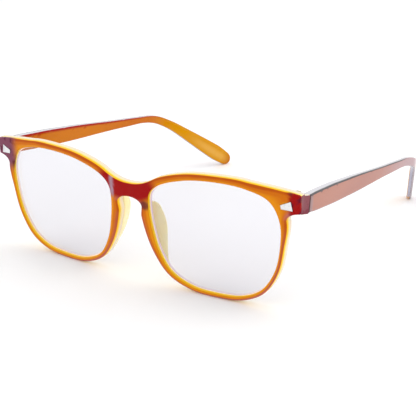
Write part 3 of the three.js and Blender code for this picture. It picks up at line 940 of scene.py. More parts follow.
# ---- The outline of the front ----
@dataclass(frozen=True)
class Outline:
    """The lens opening, the rim round it and the front's outer edge, seen square on.

    Each row is one point of the left opening, as a share of half the lens's width (nose to temple) and of
    half its height, and the rim's width there. The rows run down the nose side, under the lens, up the
    temple side and back along the brow.
    """

    lens_width: float = 53.8
    lens_height: float = 43.9
    nose_gap: float = 17.8
    end_reach: float = 7.8
    bridge_drop: float = 6.1
    bridge_height: float = 5.5
    end_drop: float = 0.1
    end_height: float = 6.8
    corner_rounding: float = 0.6
    brow_row: float = 15.0
    end_top_row: float = 12.0
    end_bottom_row: float = 10.0
    nose_row: float = 0.5
    slope_step: float = 0.01
    notch_leave: Band = (0.3, 2.2)
    notch_arrive: Band = (2.4, 0.3)
    corner_lift: float = 0.1
    brow_leave: Band = (5.0, 1.0)
    brow_arrive: Band = (6.0, 0.5)
    over_leave: Band = (3.6, 2.1)
    over_arrive: Band = (5.0, 0.1)
    arch_leave: float = 3.2
    arch_arrive: Band = (0.5, 1.2)
    arch_foot: Band = (0.3, 2.4)
    nose_leave: Band = (0.4, 3.1)
    nose_arrive: float = 1.6
    rows: tuple[tuple[float, float, float], ...] = (
        (-1.0, 0.376, 4.0),
        (-0.967, -0.011, 3.6),
        (-0.877, -0.421, 2.6),
        (-0.688, -0.777, 1.9),
        (-0.364, -0.963, 1.6),
        (0.007, -1.0, 1.55),
        (0.416, -0.95, 1.55),
        (0.706, -0.763, 1.6),
        (0.907, -0.39, 1.5),
        (0.996, 0.08, 1.6),
        (0.993, 0.513, 2.9),
        (0.855, 0.822, 3.4),
        (0.528, 0.964, 2.9),
        (0.082, 1.0, 2.4),
        (-0.401, 0.941, 2.6),
        (-0.829, 0.768, 2.9),
        (-0.97, 0.604, 3.4),
    )

    @property
    def eye_centre(self) -> float:
        """The opening's middle, from the middle of the front."""
        return (self.nose_gap + self.lens_width) / 2

    @property
    def side(self) -> float:
        """Half the front's width."""
        return self.nose_gap / 2 + self.lens_width + self.end_reach

    @property
    def end_top(self) -> float:
        """Height of the end piece's top corner."""
        return self.lens_height / 2 - self.end_drop

    @property
    def bridge_top(self) -> float:
        """Height of the bridge's top."""
        return self.lens_height / 2 - self.bridge_drop

    def knot(self, number: int) -> Vector:
        """One row, in millimetres, with the rim's width as z."""
        across, up, rim = self.rows[number % len(self.rows)]
        return Vector((across * self.lens_width / 2, up * self.lens_height / 2, rim))

    def on_curve(self, row: float) -> Vector:
        """A point of the smooth curve through the rows: x, z and the rim's width.

        Args:
            row: the place in the table, which may lie between two rows.

        Returns:
            The point of the centripetal Catmull-Rom curve.
        """
        first = math.floor(row)
        p0, p1, p2, p3 = (self.knot(first + step) for step in (-1, 0, 1, 2))
        t0, t1, t2 = (math.sqrt((b - a).length) for a, b in ((p0, p1), (p1, p2), (p2, p3)))
        leave = ((p1 - p0) / t0 - (p2 - p0) / (t0 + t1) + (p2 - p1) / t1) * t1
        arrive = ((p2 - p1) / t1 - (p3 - p1) / (t1 + t2) + (p3 - p2) / t2) * t1
        share = row - first
        cubic = 2 * p1 - 2 * p2 + leave + arrive
        square = -3 * p1 + 3 * p2 - 2 * leave - arrive
        return ((cubic * share + square) * share + leave) * share + p1

    def opening(self, row: float, grow: float = 0.0) -> Vector:
        """A point of the opening's edge.

        Args:
            row: the place in the table.
            grow: how far it is moved outwards.

        Returns:
            The point, from the middle of the front.
        """
        at = self.on_curve(row)
        along = self.on_curve(row + self.slope_step) - self.on_curve(row - self.slope_step)
        out = Vector((along.y, -along.x)).normalized()
        return Vector((self.eye_centre + at.x, at.y)) + out * grow

    def rim_edge(self, row: float) -> Vector:
        """The rim's outer edge at a row."""
        return self.opening(row, self.on_curve(row).z)

    def end_path(self) -> list[list[Vector]]:
        """The edge round the end piece, as curves from the lower row to the upper one."""
        under, top = self.rim_edge(self.end_bottom_row), self.rim_edge(self.end_top_row)
        side, high = self.side, self.end_top
        low = high - self.end_height
        cut = self.corner_rounding
        leave, arrive = self.notch_leave, self.notch_arrive
        away = (under.x + leave[0], under.y + leave[1])
        notch = [under, away, (side - arrive[0], low - arrive[1]), (side - cut, low)]
        lower = [(side - cut, low), (side, low), (side, low + cut)]
        flat = [(side, low + cut), (side, high - cut)]
        crown = (side - cut, high + self.corner_lift)
        upper = [(side, high - cut), (side, high), crown]
        leave, arrive = self.brow_leave, self.brow_arrive
        away = (side - leave[0], high + leave[1])
        brow = [crown, away, (top.x + arrive[0], top.y - arrive[1]), top]
        return [[Vector(point) for point in curve] for curve in (notch, lower, flat, upper, brow)]

    def bridge_path(self) -> list[list[Vector]]:
        """The edge along the brow, down the middle and back along the arch, as curves."""
        brow, nose = self.rim_edge(self.brow_row), self.rim_edge(self.nose_row)
        high = self.bridge_top
        arch = high - self.bridge_height
        foot = Vector((nose.x + self.arch_foot[0], arch - self.arch_foot[1]))
        leave, arrive = self.over_leave, self.over_arrive
        over = [brow, (brow.x - leave[0], brow.y - leave[1]), (arrive[0], high - arrive[1]), (0, high)]
        down = [(0, high), (0, arch)]
        leave, arrive = self.arch_leave, self.arch_arrive
        under = [(0, arch), (leave, arch), (foot.x - arrive[0], arch - arrive[1]), foot]
        leave = self.nose_leave
        back = [foot, (foot.x + leave[0], arch - leave[1]), (nose.x, nose.y + self.nose_arrive), nose]
        return [[Vector(point) for point in curve] for curve in (over, down, under, back)]


@dataclass(frozen=True)
class Wear:
    """Bends the flat front in plan and leans it forward."""

    lean: float = math.radians(11.9)
    bridge_slope: float = 0.033
    bridge_width: float = 8.0
    curve_radius: float = 950.0

    def fall_back(self, across: float) -> float:
        """How far the front falls back at a distance from its middle."""
        bend = math.hypot(across, self.bridge_width) - self.bridge_width
        return self.bridge_slope * bend + across * across / (2 * self.curve_radius)

    def worn(self, across: float, depth: float, height: float) -> Vector:
        """Where a point of the flat front goes.

        Args:
            across: its distance from the middle.
            depth: its distance behind the face.
            height: its height above the lenses' centre line.

        Returns:
            The point of the worn front.
        """
        y, cos, sin = depth + self.fall_back(across), math.cos(self.lean), math.sin(self.lean)
        return Vector((across, y * cos - height * sin, y * sin + height * cos))

    def flat(self, point: Vector) -> Vector:
        """Where a worn point came from.

        Args:
            point: the point of the worn front.

        Returns:
            Its x, its depth behind the face and its height, on the flat front.
        """
        cos, sin = math.cos(self.lean), math.sin(self.lean)
        depth = point.y * cos + point.z * sin - self.fall_back(point.x)
        return Vector((point.x, depth, point.z * cos - point.y * sin))

    def depth_of(self, point: Vector) -> float:
        """How far behind the flat front's face a worn point lies."""
        return self.flat(point).y


@dataclass(frozen=True)
class Stance:
    """Sets the spectacles down open on the table, as the CAD's own fold joint stands."""

    axis: Vector
    pivot: Vector
    hinge: Vector
    millimetre: float = 0.001

    def matrix(self) -> Matrix:
        """From the spectacles' own axes in millimetres to the row frame in metres."""
        turn = Matrix.Rotation(-math.atan2(self.axis.y, self.axis.z), 4, "X")
        scale = Matrix.Scale(self.millimetre, 4)
        shift = self.pivot - (turn @ scale @ self.hinge)
        return Matrix.Translation(shift) @ turn @ scale

    def set_down(self, piece: Piece) -> None:
        """Moves a finished piece's mesh there and smooths its rounded surfaces."""
        piece.data.transform(self.matrix())
        activate(piece)
        bpy.ops.object.shade_smooth_by_angle(angle=SMOOTH_ANGLE)
        bpy.context.tool_settings.mesh_select_mode = (True, False, False)


# ---- Hinge sizes that the front, the temples and the hinges share ----
@dataclass(frozen=True)
class HingeSizes:
    """The three-barrel hinge. Its pieces are placed about the screw's axis: x outwards, y back."""

    barrel_radius: float = 1.5
    barrel_height: float = 1.9
    barrel_gap: float = 0.15
    screw_radius: float = 0.7
    screw_clearance: float = 0.06
    head_radius: float = 1.25
    head_height: float = 0.7
    slot_width: float = 0.4
    slot_depth: float = 0.35
    web_reach: float = 1.1
    butt_gap: float = 0.3
    clearance: float = 0.3
    pocket_clearance: float = 0.15
    foot_cover: float = 1.4
    foot_inner: float = 0.3
    foot_back: float = 0.9
    foot_depth: float = 3.2
    foot_height: float = 4.0
    plate_start: float = 0.9
    plate_length: float = 9.0
    plate_height: float = 3.6
    plate_thickness: float = 1.45
    plate_proud: float = 0.35
    temple_thickness: float = 3.4
    end_depth: float = 5.4
    end_flare: float = 0.8
    edge: float = 0.18

    @property
    def temple_inner(self) -> float:
        """The temple's inner face, outwards of the axis."""
        return self.barrel_radius + self.pocket_clearance

    @property
    def temple_outer(self) -> float:
        """The temple's outer face, outwards of the axis."""
        return self.temple_inner + self.temple_thickness

    @property
    def stack(self) -> float:
        """Height of the three barrels."""
        return 3 * self.barrel_height + 2 * self.barrel_gap

    def span(self, number: int) -> tuple[float, float]:
        """The heights between which a barrel stands, number 0 the lowest."""
        low = -self.stack / 2 + number * (self.barrel_height + self.barrel_gap)
        return low, low + self.barrel_height

    def axis(self, outline: Outline, wear: Wear) -> Vector:
        """Where the left hinge's axis stands.

        Args:
            outline: the front's outline.
            wear: the way the front is bent and leans.

        Returns:
            The axis's middle.
        """
        corner = wear.worn(outline.side, 0, outline.end_top - outline.end_height / 2)
        return corner + Vector((self.end_flare - self.temple_outer, self.end_depth, 0))

    def foot_box(self, grow: float) -> tuple[list[float], list[float]]:
        """The foot that is sunk in the end piece.

        Args:
            grow: a clearance to grow it by.

        Returns:
            Its lowest and its highest corner.
        """
        half = self.foot_height / 2 + grow
        low = [self.foot_inner - grow, -self.foot_back - self.foot_depth - grow, -half]
        return low, [self.temple_outer - self.foot_cover + grow, -self.foot_back + grow, half]

    def plate_box(self, grow: float) -> tuple[list[float], list[float]]:
        """The plate that is let into the temple.

        Args:
            grow: a clearance to grow it by.

        Returns:
            Its lowest and its highest corner.
        """
        half = self.plate_height / 2 + grow
        low = [self.temple_inner - self.plate_proud, self.plate_start - grow, -half]
        outer = low[0] + self.plate_thickness + grow
        return low, [outer, self.plate_start + self.plate_length + grow, half]

    def room(self, low: float) -> Piece:
        """The round space that the barrels turn in, from a height up."""
        return post("barrel room", self.barrel_radius + self.clearance, low, 2 * self.stack)

    def bore(self) -> Piece:
        """The hole for the screw."""
        reach = 2 * self.stack
        return post("bore", self.screw_radius + self.screw_clearance, -reach, reach, sides=40)


# ---- The assemblies ----
@dataclass
class Spectacles:
    """What every assembly needs: the outline, the wear, the hinge and the stance."""

    outline: Outline = field(default_factory=Outline)
    wear: Wear = field(default_factory=Wear)
    hinge: HingeSizes = field(default_factory=HingeSizes)

    def __post_init__(self) -> None:
        """Reads the stance from the CAD's left fold joint."""
        joint = next(joint for joint in frame["joints"] if joint["name"] == "left_temple_fold")
        self.axis = self.hinge.axis(self.outline, self.wear)
        self.stance = Stance(Vector(joint["axis"]), Vector(joint["pos_m"]), self.axis)

    def finish(self, piece: Piece, body: str, slot: str, *nodes: str) -> None:
        """Sets a piece down, ties it to its body and hides the CAD nodes that it replaces.

        Args:
            piece: the finished piece.
            body: the body that it rides on.
            slot: not used.
            *nodes: the CAD nodes that it replaces.
        """
        self.stance.set_down(piece)
        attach(piece, body)
        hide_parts(*nodes)
        log.info("%s: %d faces", piece.name, len(piece.data.polygons))

    def finish_pair(self, left: Piece, body: str, slot: str, node: str) -> None:
        """Finishes a left piece and its mirror image.

        Args:
            left: the wearer's left piece.
            body: the body that each rides on, with {side} for its side's word.
            slot: their material slot.
            node: the CAD node that each replaces, with {side} for its side's word.
        """
        right = mirror_image(left, left.name.replace("left", "right"))
        for piece, side in ((left, Side.LEFT), (right, Side.RIGHT)):
            self.finish(piece, body.format(side=side.word), slot, node.format(side=side.word))


@dataclass(frozen=True)
class Station:
    """One cut across the front's ring: the row of the opening, the outer edge and the way in from it."""

    row: float
    edge: Vector
    inwards: Vector


@dataclass(frozen=True)
class StainAndPaintedLight:
    """Where the brown is deeper, and where light and shade are painted on it: the bridge's deeper red,
    painted shade in the notch under the bridge, a painted lilac highlight beside the bridge, and the two
    darker corners, of which the one on the wearer's right also carries painted shade and a painted purple
    reflection.

    Places are across and above the middle of the bridge, which is `middle_drop` below its top. A fade goes
    from full to nothing.
    """

    shared: Spectacles
    middle_drop: float = 1.0
    bridge_left: float = 14.5
    bridge_right: float = 18.5
    bridge_high: float = 6.5
    bridge_fade: Band = (0.7, 1.1)
    notch_at: Band = (7.4, -6.6)
    notch_size: Band = (2.6, 2.2)
    notch_fade: Band = (0.45, 1.1)
    glint_start: Band = (-9.0, -8.3)
    glint_end: Band = (-7.3, -6.6)
    most: float = 0.8
    left_corner: Band = (4.6, 3.4)
    right_corner: Band = (12.5, 7.5)
    right_corner_rise: Band = (7.0, 13.5)

    def spot(self, at: Vector) -> Vector:
        """A point's place across and above the middle of the bridge."""
        flat, outline = self.shared.wear.flat(at), self.shared.outline
        return Vector((flat.x, flat.z - outline.bridge_top + self.middle_drop))

    def bridge(self, at: Vector) -> float:
        """How much of the bridge's red there is at a point."""
        spot = self.spot(at)
        wide = self.bridge_left if spot.x > 0 else self.bridge_right
        return 1 - smoothstep(math.hypot(spot.x / wide, spot.y / self.bridge_high), *self.bridge_fade)

    def notch(self, at: Vector) -> float:
        """How much painted shade a point has in the notch under the bridge."""
        away = self.spot(at) - Vector(self.notch_at)
        wide, high = self.notch_size
        return self.most * (1 - smoothstep(math.hypot(away.x / wide, away.y / high), *self.notch_fade))

    def glint(self, at: Vector) -> float:
        """How much of the painted lilac highlight beside the bridge there is at a point."""
        across = self.spot(at).x
        band = smoothstep(across, *self.glint_start) * (1 - smoothstep(across, *self.glint_end))
        return self.most * band * self.bridge(at)

    def left(self, at: Vector) -> float:
        """How much of the left corner's dark there is at a point."""
        side = self.shared.outline.side
        return smoothstep(at.x, *(side - inset for inset in self.left_corner))

    def right(self, at: Vector) -> float:
        """How much of the right corner's deeper purple brown, partly painted shade and reflection, there is
        at a point.
        """
        side, height = self.shared.outline.side, self.shared.wear.flat(at).z
        across = smoothstep(-at.x, *(side - inset for inset in self.right_corner))
        return across * smoothstep(height, *self.right_corner_rise)

    def paint_on(self, piece: Piece) -> None:
        """Writes all of them on a piece's vertices."""
        paint_by_place(piece, "bridge", self.bridge)
        paint_by_place(piece, "notch", self.notch)
        paint_by_place(piece, "glint", self.glint)
        paint_by_place(piece, "left_corner", self.left)
        paint_by_place(piece, "right_corner", self.right)


@dataclass
class Front:
    """The brown face layer and the amber body behind it, as rings round the two openings."""

    shared: Spectacles
    face_thickness: float = 1.0
    bond_gap: float = 0.2
    bond_left: float = 0.03
    thickness: float = 4.0
    rounding: float = 0.6
    back_rounding: float = 0.55
    crown: float = 0.14
    steps: int = 9
    round_steps: int = 5
    shares: tuple[float, ...] = (0.08, 0.16, 0.25, 0.35, 0.45, 0.55, 0.65, 0.75, 0.84, 0.92)
    lens_set_back: float = 2.45
    groove_depth: float = 0.65
    groove_root: float = 0.65
    groove_tip: float = 0.4
    mitre_most: float = 1.4
    pocket_front: float = -1.0
    back_shares: tuple[float, ...] = (0.25, 0.5, 0.75)
    back_marked: Band = (0.1, 0.9)
    under_share: Band = (0.4, 0.95)
    block_rounding: float = 0.5
    skin_depth: float = 0.9
    skin_slope: float = 0.6
    butt_depth: float = 0.02
    end_counts: tuple[int, ...] = (10, 3, 6, 3, 10)
    bridge_counts: tuple[int, ...] = (16, 8, 12, 8)

    def stations(self) -> list[Station]:
        """The cuts round one opening, with the outer edge that belongs to each."""
        outline = self.shared.outline
        rows: list[float] = []
        edges: list[Vector] = []

        def along_rim(start: float, end: float) -> None:
            """Adds cuts along the rim between two rows."""
            count = round((end - start) * self.steps)
            for number in range(count):
                rows.append(lerp(start, end, number / count))
                edges.append(outline.rim_edge(rows[-1]))

        def along_curves(
            start: float, end: float, curves: list[list[Vector]], counts: tuple[int, ...]
        ) -> None:
            """Adds cuts along curves between two rows, a number on each."""
            total, done = sum(counts), 0
            for curve, count in zip(curves, counts):
                for number in range(count):
                    rows.append(lerp(start, end, (done + number) / total))
                    edges.append(bezier(curve, number / count))
                done += count

        turn = float(len(outline.rows))
        along_rim(outline.nose_row, outline.end_bottom_row)
        along_curves(outline.end_bottom_row, outline.end_top_row, outline.end_path(), self.end_counts)
        along_rim(outline.end_top_row, outline.brow_row)
        along_curves(outline.brow_row, turn + outline.nose_row, outline.bridge_path(), self.bridge_counts)
        found = []
        for number, (row, edge) in enumerate(zip(rows, edges)):
            before, after = edges[number - 1], edges[(number + 1) % len(edges)]
            found.append(Station(row, edge, self.way_in(before, edge, after)))
        return found

    def way_in(self, before: Vector, edge: Vector, after: Vector) -> Vector:
        """The way into the material from a point of the outer edge.

        Args:
            before: the point before it.
            edge: the point.
            after: the point after it.

        Returns:
            The mitred way in, straight up or down at the ends of the middle line and nothing along it.
        """
        on_middle = [abs(point.x) < LEVEL for point in (before, edge, after)]
        if all(on_middle):
            return Vector((0, 0))
        if on_middle[1]:
            other = after if on_middle[2] else before
            return Vector((0, 1 if other.y > edge.y else -1))
        first, second = (edge - before).normalized(), (after - edge).normalized()
        along = (first + second).normalized()
        mitre = min(self.mitre_most, 1 / max(0.5, along.dot(first)))
        return Vector((-along.y, along.x)) * mitre

    def ring(self, name: str, profile: Sequence[tuple[float, float, float]], back: float = 0.0) -> Piece:
        """The whole front as a ring round each opening, joined at the middle.

        Args:
            name: the new object's name.
            profile: the cut's corners in order: share of the way from the opening to the outer edge,
                distance into the material from the nearer of the two, and depth behind the face.
            back: the depth at which a corner of the cut counts as the back.

        Returns:
            The closed solid, with each vertex's share and a mark for the back written on it.
        """
        outline, wear = self.shared.outline, self.shared.wear
        stations = self.stations()
        count = len(profile)
        bpy.ops.mesh.primitive_torus_add(major_segments=len(stations), minor_segments=count)
        piece = started(name)

        def rule(_at: Vector, number: int) -> Vector:
            """The place of one corner of the cut at one station."""
            station = stations[number // count]
            share, inset, depth = profile[number % count]
            inner = outline.opening(station.row, inset)
            outer = station.edge + station.inwards * inset
            at = inner.lerp(outer, share)
            return Vector((at.x, depth, at.y))

        place_vertices(piece, rule)
        places = [(station, share, depth) for station in stations for share, _, depth in profile]
        low, high = self.back_marked
        inside = ((low < share < high or station.edge.x < TINY, depth) for station, share, depth in places)
        paint(piece, "share", (share for _, share, _ in places))
        paint(piece, "back", (float(within and depth == back) for within, depth in inside))
        # painted reflection: mauve on the outer edges that face down, more so towards the outer edge
        facing = ((max(0.0, station.inwards.y), share) for station, share, _ in places)
        paint(piece, "under", (part * smoothstep(share, *self.under_share) for part, share in facing))
        select_faces(piece, lambda centre, _normal: abs(centre.x) < 10 * LEVEL)
        with editing(piece, everything=False):
            bpy.ops.mesh.delete(type="FACE")
        activate(piece)
        mirror = piece.modifiers.new("other half", "MIRROR")
        mirror.merge_threshold = MERGE
        bpy.ops.object.modifier_apply(modifier="other half")
        face_outwards(piece)
        place_vertices(piece, lambda at, _number: wear.worn(at.x, at.y, at.z))
        return piece

    def arc(self, radius: float) -> list[tuple[float, float]]:
        """A rounded corner from the wall to the face.

        Args:
            radius: its radius.

        Returns:
            Its points, as distances in from the wall and from the face.
        """
        steps = [math.pi / 2 * number / self.round_steps for number in range(self.round_steps + 1)]
        return [(radius * (1 - math.cos(turn)), radius * (1 - math.sin(turn))) for turn in steps]

    def face_layer(self) -> Piece:
        """The brown layer, rounded along its front edges and a little crowned."""
        back = self.face_thickness + self.bond_gap - self.bond_left
        corner = [(inset, depth + self.crown) for inset, depth in self.arc(self.rounding)]
        profile = [(0.0, 0.0, back)]
        profile += [(0.0, inset, depth) for inset, depth in corner]
        profile += [(share, self.rounding, self.crown * (2 * share - 1) ** 2) for share in self.shares]
        profile += [(1.0, inset, depth) for inset, depth in reversed(corner)]
        profile += [(1.0, 0.0, back), (0.5, 0.0, back)]
        piece = self.ring("front_face_layer_fine", profile)
        for side in Side:
            plaques = Plaques(self.shared)
            floor = plaques.seat + plaques.clearance
            pocket = plaques.prism("pocket", plaques.clearance, self.pocket_front, floor, side)
            combine(piece, pocket, Join.CUT)
        face_outwards(piece)
        # the bridge's deeper red and the corners, with the painted highlight, shade and reflection
        StainAndPaintedLight(self.shared).paint_on(piece)
        wear, rounding = self.shared.wear, self.rounding + self.crown
        start = self.crown + 2 * TINY
        paint_by_place(piece, "wall", lambda at: smoothstep(wear.depth_of(at), start, rounding))
        dress(piece, BrownLayer().material())
        return piece

    def end_block(self) -> Piece:
        """The block that carries the face's corner back to the hinge gap."""
        hinge, outline = self.shared.hinge, self.shared.outline
        rise = outline.end_height / 2
        back = -hinge.butt_gap / 2
        start = -hinge.end_depth + (self.face_thickness + self.bond_gap + self.thickness) / 2
        piece = block("end block", (hinge.web_reach, start, -rise), (hinge.temple_outer, back, rise))
        outer = hinge.temple_outer - TINY
        select_edges(piece, lambda a, b: min(a.x, b.x) > outer and abs(a.y - b.y) > TINY)
        with editing(piece, everything=False):
            bpy.ops.mesh.bevel(offset=self.block_rounding, segments=4, affect="EDGES")

        def flare(at: Vector, _number: int) -> Vector:
            """Narrows the block towards the face, and moves it to the hinge."""
            share = (back - at.y) / (back - start)
            outwards = (at.x - hinge.web_reach) / (hinge.temple_outer - hinge.web_reach)
            return Vector((at.x - hinge.end_flare * share * outwards, at.y, at.z)) + self.shared.axis

        place_vertices(piece, flare)
        return piece

    def amber_body(self) -> Piece:
        """The amber body with its lens grooves, end blocks and hinge pockets."""
        hinge, wear = self.shared.hinge, self.shared.wear
        start, back = self.face_thickness + self.bond_gap, self.thickness
        middle = self.lens_set_back
        corner = [(inset, back - depth) for inset, depth in self.arc(self.back_rounding)]
        profile = [(0.0, 0.0, start), (0.0, 0.0, middle - self.groove_root)]
        profile += [(0.0, self.groove_depth, middle - self.groove_tip)]
        profile += [(0.0, self.groove_depth, middle + self.groove_tip)]
        profile += [(0.0, 0.0, middle + self.groove_root)]
        profile += [(0.0, inset, depth) for inset, depth in corner]
        profile += [(share, self.back_rounding, back) for share in self.back_shares]
        profile += [(1.0, inset, depth) for inset, depth in reversed(corner)]
        profile += [(1.0, 0.0, (start + back) / 2), (1.0, 0.0, start), (0.5, 0.0, start)]
        piece = self.ring("front_body_fine", profile, back)
        for side in Side:
            self.at_end(piece, self.end_block(), side, Join.ADD, placed=True)
            self.at_end(piece, hinge.room(-self.shared.outline.end_height / 2 - TINY), side, Join.CUT)
            self.at_end(piece, block("pocket", *hinge.foot_box(hinge.pocket_clearance)), side, Join.CUT)
        face_outwards(piece)
        paint_by_place(piece, "depth", lambda at: (wear.depth_of(at) - start) / (back - start))
        skin = BrownLayer("end skin", deep=(0.25, 0.08, 0.095), blotch=(0.19, 0.03, 0.05))
        # the butt's material is painted shade of the hinge gap
        dress(piece, AmberPlastic().material(), skin.material(), PaintedShadeButt().material())
        for polygon in piece.data.polygons:
            polygon.material_index = self.finish_of(polygon)
        # the bridge's deeper red and the corners, with the painted highlight, shade and reflection
        StainAndPaintedLight(self.shared).paint_on(piece)
        return piece

    def finish_of(self, polygon: bpy.types.MeshPolygon) -> int:
        """Which of the body's three materials a face has.

        Args:
            polygon: the face.

        Returns:
            0 for the amber plastic, 1 for the brown skin at the ends, 2 for the butt, which is painted dark
            as shade.
        """
        hinge, centre = self.shared.hinge, polygon.center
        butt = self.shared.axis.y - hinge.butt_gap / 2 - self.butt_depth
        if centre.y > butt and abs(centre.x) > self.shared.axis.x + hinge.web_reach:
            return 2
        outer = abs(centre.x) > self.shared.outline.side - self.skin_depth
        return int(outer and abs(polygon.normal.z) < self.skin_slope)

    def at_end(self, piece: Piece, tool: Piece, side: Side, join: Join, placed: bool = False) -> None:
        """Uses a tool, made about the left hinge's axis, at one end of the front.

        Args:
            piece: the front's body.
            tool: what is joined or cut away.
            side: the end.
            join: which of the two.
            placed: the tool already stands at the left hinge.
        """
        shift = Vector() if placed else self.shared.axis
        sign = Vector((side.value, 1, 1))
        place_vertices(tool, lambda at, _number: (at + shift) * sign)
        face_outwards(tool)
        combine(piece, tool, join)

    def build(self) -> None:
        """Makes both layers and ties them to the front."""
        self.shared.finish(self.face_layer(), "front", "brown_plastic", "front_face_layer")
        self.shared.finish(self.amber_body(), "front", "amber_plastic", "front_body")


@dataclass
class Plaques:
    """The pressed metal plaques at the front's two corners, each on a pin."""

    shared: Spectacles
    length: float = 4.2
    wide: float = 3.5
    narrow: float = 1.5
    thickness: float = 0.7
    proud: float = 0.25
    slope: float = math.radians(11)
    inset: float = 5.0
    below: float = 4.4
    pin_radius: float = 0.5
    pin_length: float = 1.6
    pin_root: float = 0.2
    pin_edge: float = 0.1
    pin_sides: int = 32
    clearance: float = 0.15
    edge: float = 0.14

    @property
    def seat(self) -> float:
        """How deep the plaque's back lies behind the face."""
        return self.thickness - self.proud

    def prism(self, name: str, grow: float, front: float, back: float, side: Side = Side.LEFT) -> Piece:
        """The plaque's four-sided shape between two depths.

        Args:
            name: the new object's name.
            grow: distance that the shape is grown by.
            front: depth of its front.
            back: depth of its back.
            side: which corner it is for.

        Returns:
            The worn prism.
        """
        outline, wear = self.shared.outline, self.shared.wear
        piece = block(name, (-0.5, 0, -0.5), (0.5, 1, 0.5))
        middle = Vector((outline.side - self.inset, outline.end_top - self.below))
        half = self.length / 2 + grow

        def flat(at: Vector, _number: int) -> Vector:
            """Where a corner of a unit block goes on the flat front."""
            width = (self.wide if at.x > 0 else self.narrow) + 2 * grow
            across, up = 2 * half * at.x, width * at.z
            turned = Vector((across, up)) @ Matrix.Rotation(-self.slope, 2)
            spot = middle + turned
            return Vector((spot.x, lerp(front, back, at.y), spot.y))

        place_vertices(piece, flat)
        if grow == 0:
            with editing(piece):
                bpy.ops.mesh.bevel(offset=self.edge, segments=3, affect="EDGES")
        place_vertices(piece, lambda at, _number: wear.worn(at.x, at.y, at.z) * Vector((side.value, 1, 1)))
        face_outwards(piece)
        return piece

    def build(self) -> None:
        """Makes both plaques and ties them to the front."""
        outline, wear = self.shared.outline, self.shared.wear
        left = self.prism("corner_plaque_left_fine", 0.0, -self.proud, self.seat)
        low, high = self.seat - self.pin_root, self.seat + self.pin_length
        pin = post("pin", self.pin_radius, low, high, self.pin_edge, self.pin_sides)
        across, up = outline.side - self.inset, outline.end_top - self.below
        place_vertices(pin, lambda at, _number: wear.worn(across + at.x, at.z, up - at.y))
        face_outwards(pin)
        combine(left, pin, Join.ADD)
        dress(left, PLAQUE_METAL.material())
        self.shared.finish_pair(left, "front", "plaque_metal", "corner_plaque_{side}")


@dataclass
class Lenses:
    """The two lenses, each curved, with a V edge that sits in the body's groove."""

    shared: Spectacles
    thickness: float = 1.8
    set_back: float = 2.45
    sag: float = 1.1
    clearance: float = 0.15
    ridge_height: float = 0.5
    ridge_root: float = 1.0
    ridge_tip: float = 0.5
    soft: float = 0.12
    steps: int = 9
    shares: tuple[float, ...] = (0.15, 0.3, 0.45, 0.6, 0.73, 0.84, 0.92, 0.97)

    def profile(self) -> list[tuple[float, float, float]]:
        """The lens's cut, from the middle of its front to the middle of its back.

        Returns:
            Each corner's share of the way out, its depth and its distance beyond the opening's wall.
        """
        front, back = self.set_back - self.thickness / 2, self.set_back + self.thickness / 2
        edge, soft = -self.clearance, self.soft

        def face(depth: float, share: float) -> tuple[float, float, float]:
            """A corner of the curved front or back."""
            return share, depth - self.sag * (1 - share * share), edge

        rim = [(1, front + soft, edge), (1, self.set_back - self.ridge_root / 2, edge)]
        rim += [(1, self.set_back - self.ridge_tip / 2, self.ridge_height)]
        rim += [(1, self.set_back + self.ridge_tip / 2, self.ridge_height)]
        rim += [(1, self.set_back + self.ridge_root / 2, edge), (1, back - soft, edge)]
        return [
            *(face(front, share) for share in self.shares),
            (1, front, edge - soft),
            *rim,
            (1, back, edge - soft),
            *(face(back, share) for share in reversed(self.shares)),
        ]

    def build(self) -> None:
        """Makes both lenses and ties them to the front."""
        outline, wear = self.shared.outline, self.shared.wear
        count = len(outline.rows) * self.steps
        rings = []
        for share, depth, beyond in self.profile():
            ring = []
            for number in range(count):
                edge = outline.opening(number / self.steps, beyond)
                across = lerp(outline.eye_centre, edge.x, share)
                ring.append(wear.worn(across, depth, edge.y * share))
            rings.append(ring)
        front, back = (self.set_back + half * self.thickness / 2 - self.sag for half in (-1, 1))
        ends = tuple(wear.worn(outline.eye_centre, depth, 0) for depth in (front, back))
        left = tube_of_rings("lens_left_fine", rings, ends)
        marks = Marks()
        for number, ring in enumerate(rings):
            for point in ring:
                marks.add(point, (float(self.profile()[number][0] == 1),))
        dress(left, LensPlastic().material(), GroundEdge().material())
        for polygon in left.data.polygons:
            corners = (left.data.vertices[number].co for number in polygon.vertices)
            polygon.material_index = int(all(marks.at(corner)[0] for corner in corners))
        self.shared.finish_pair(left, "front", "lens", "lens_{side}")


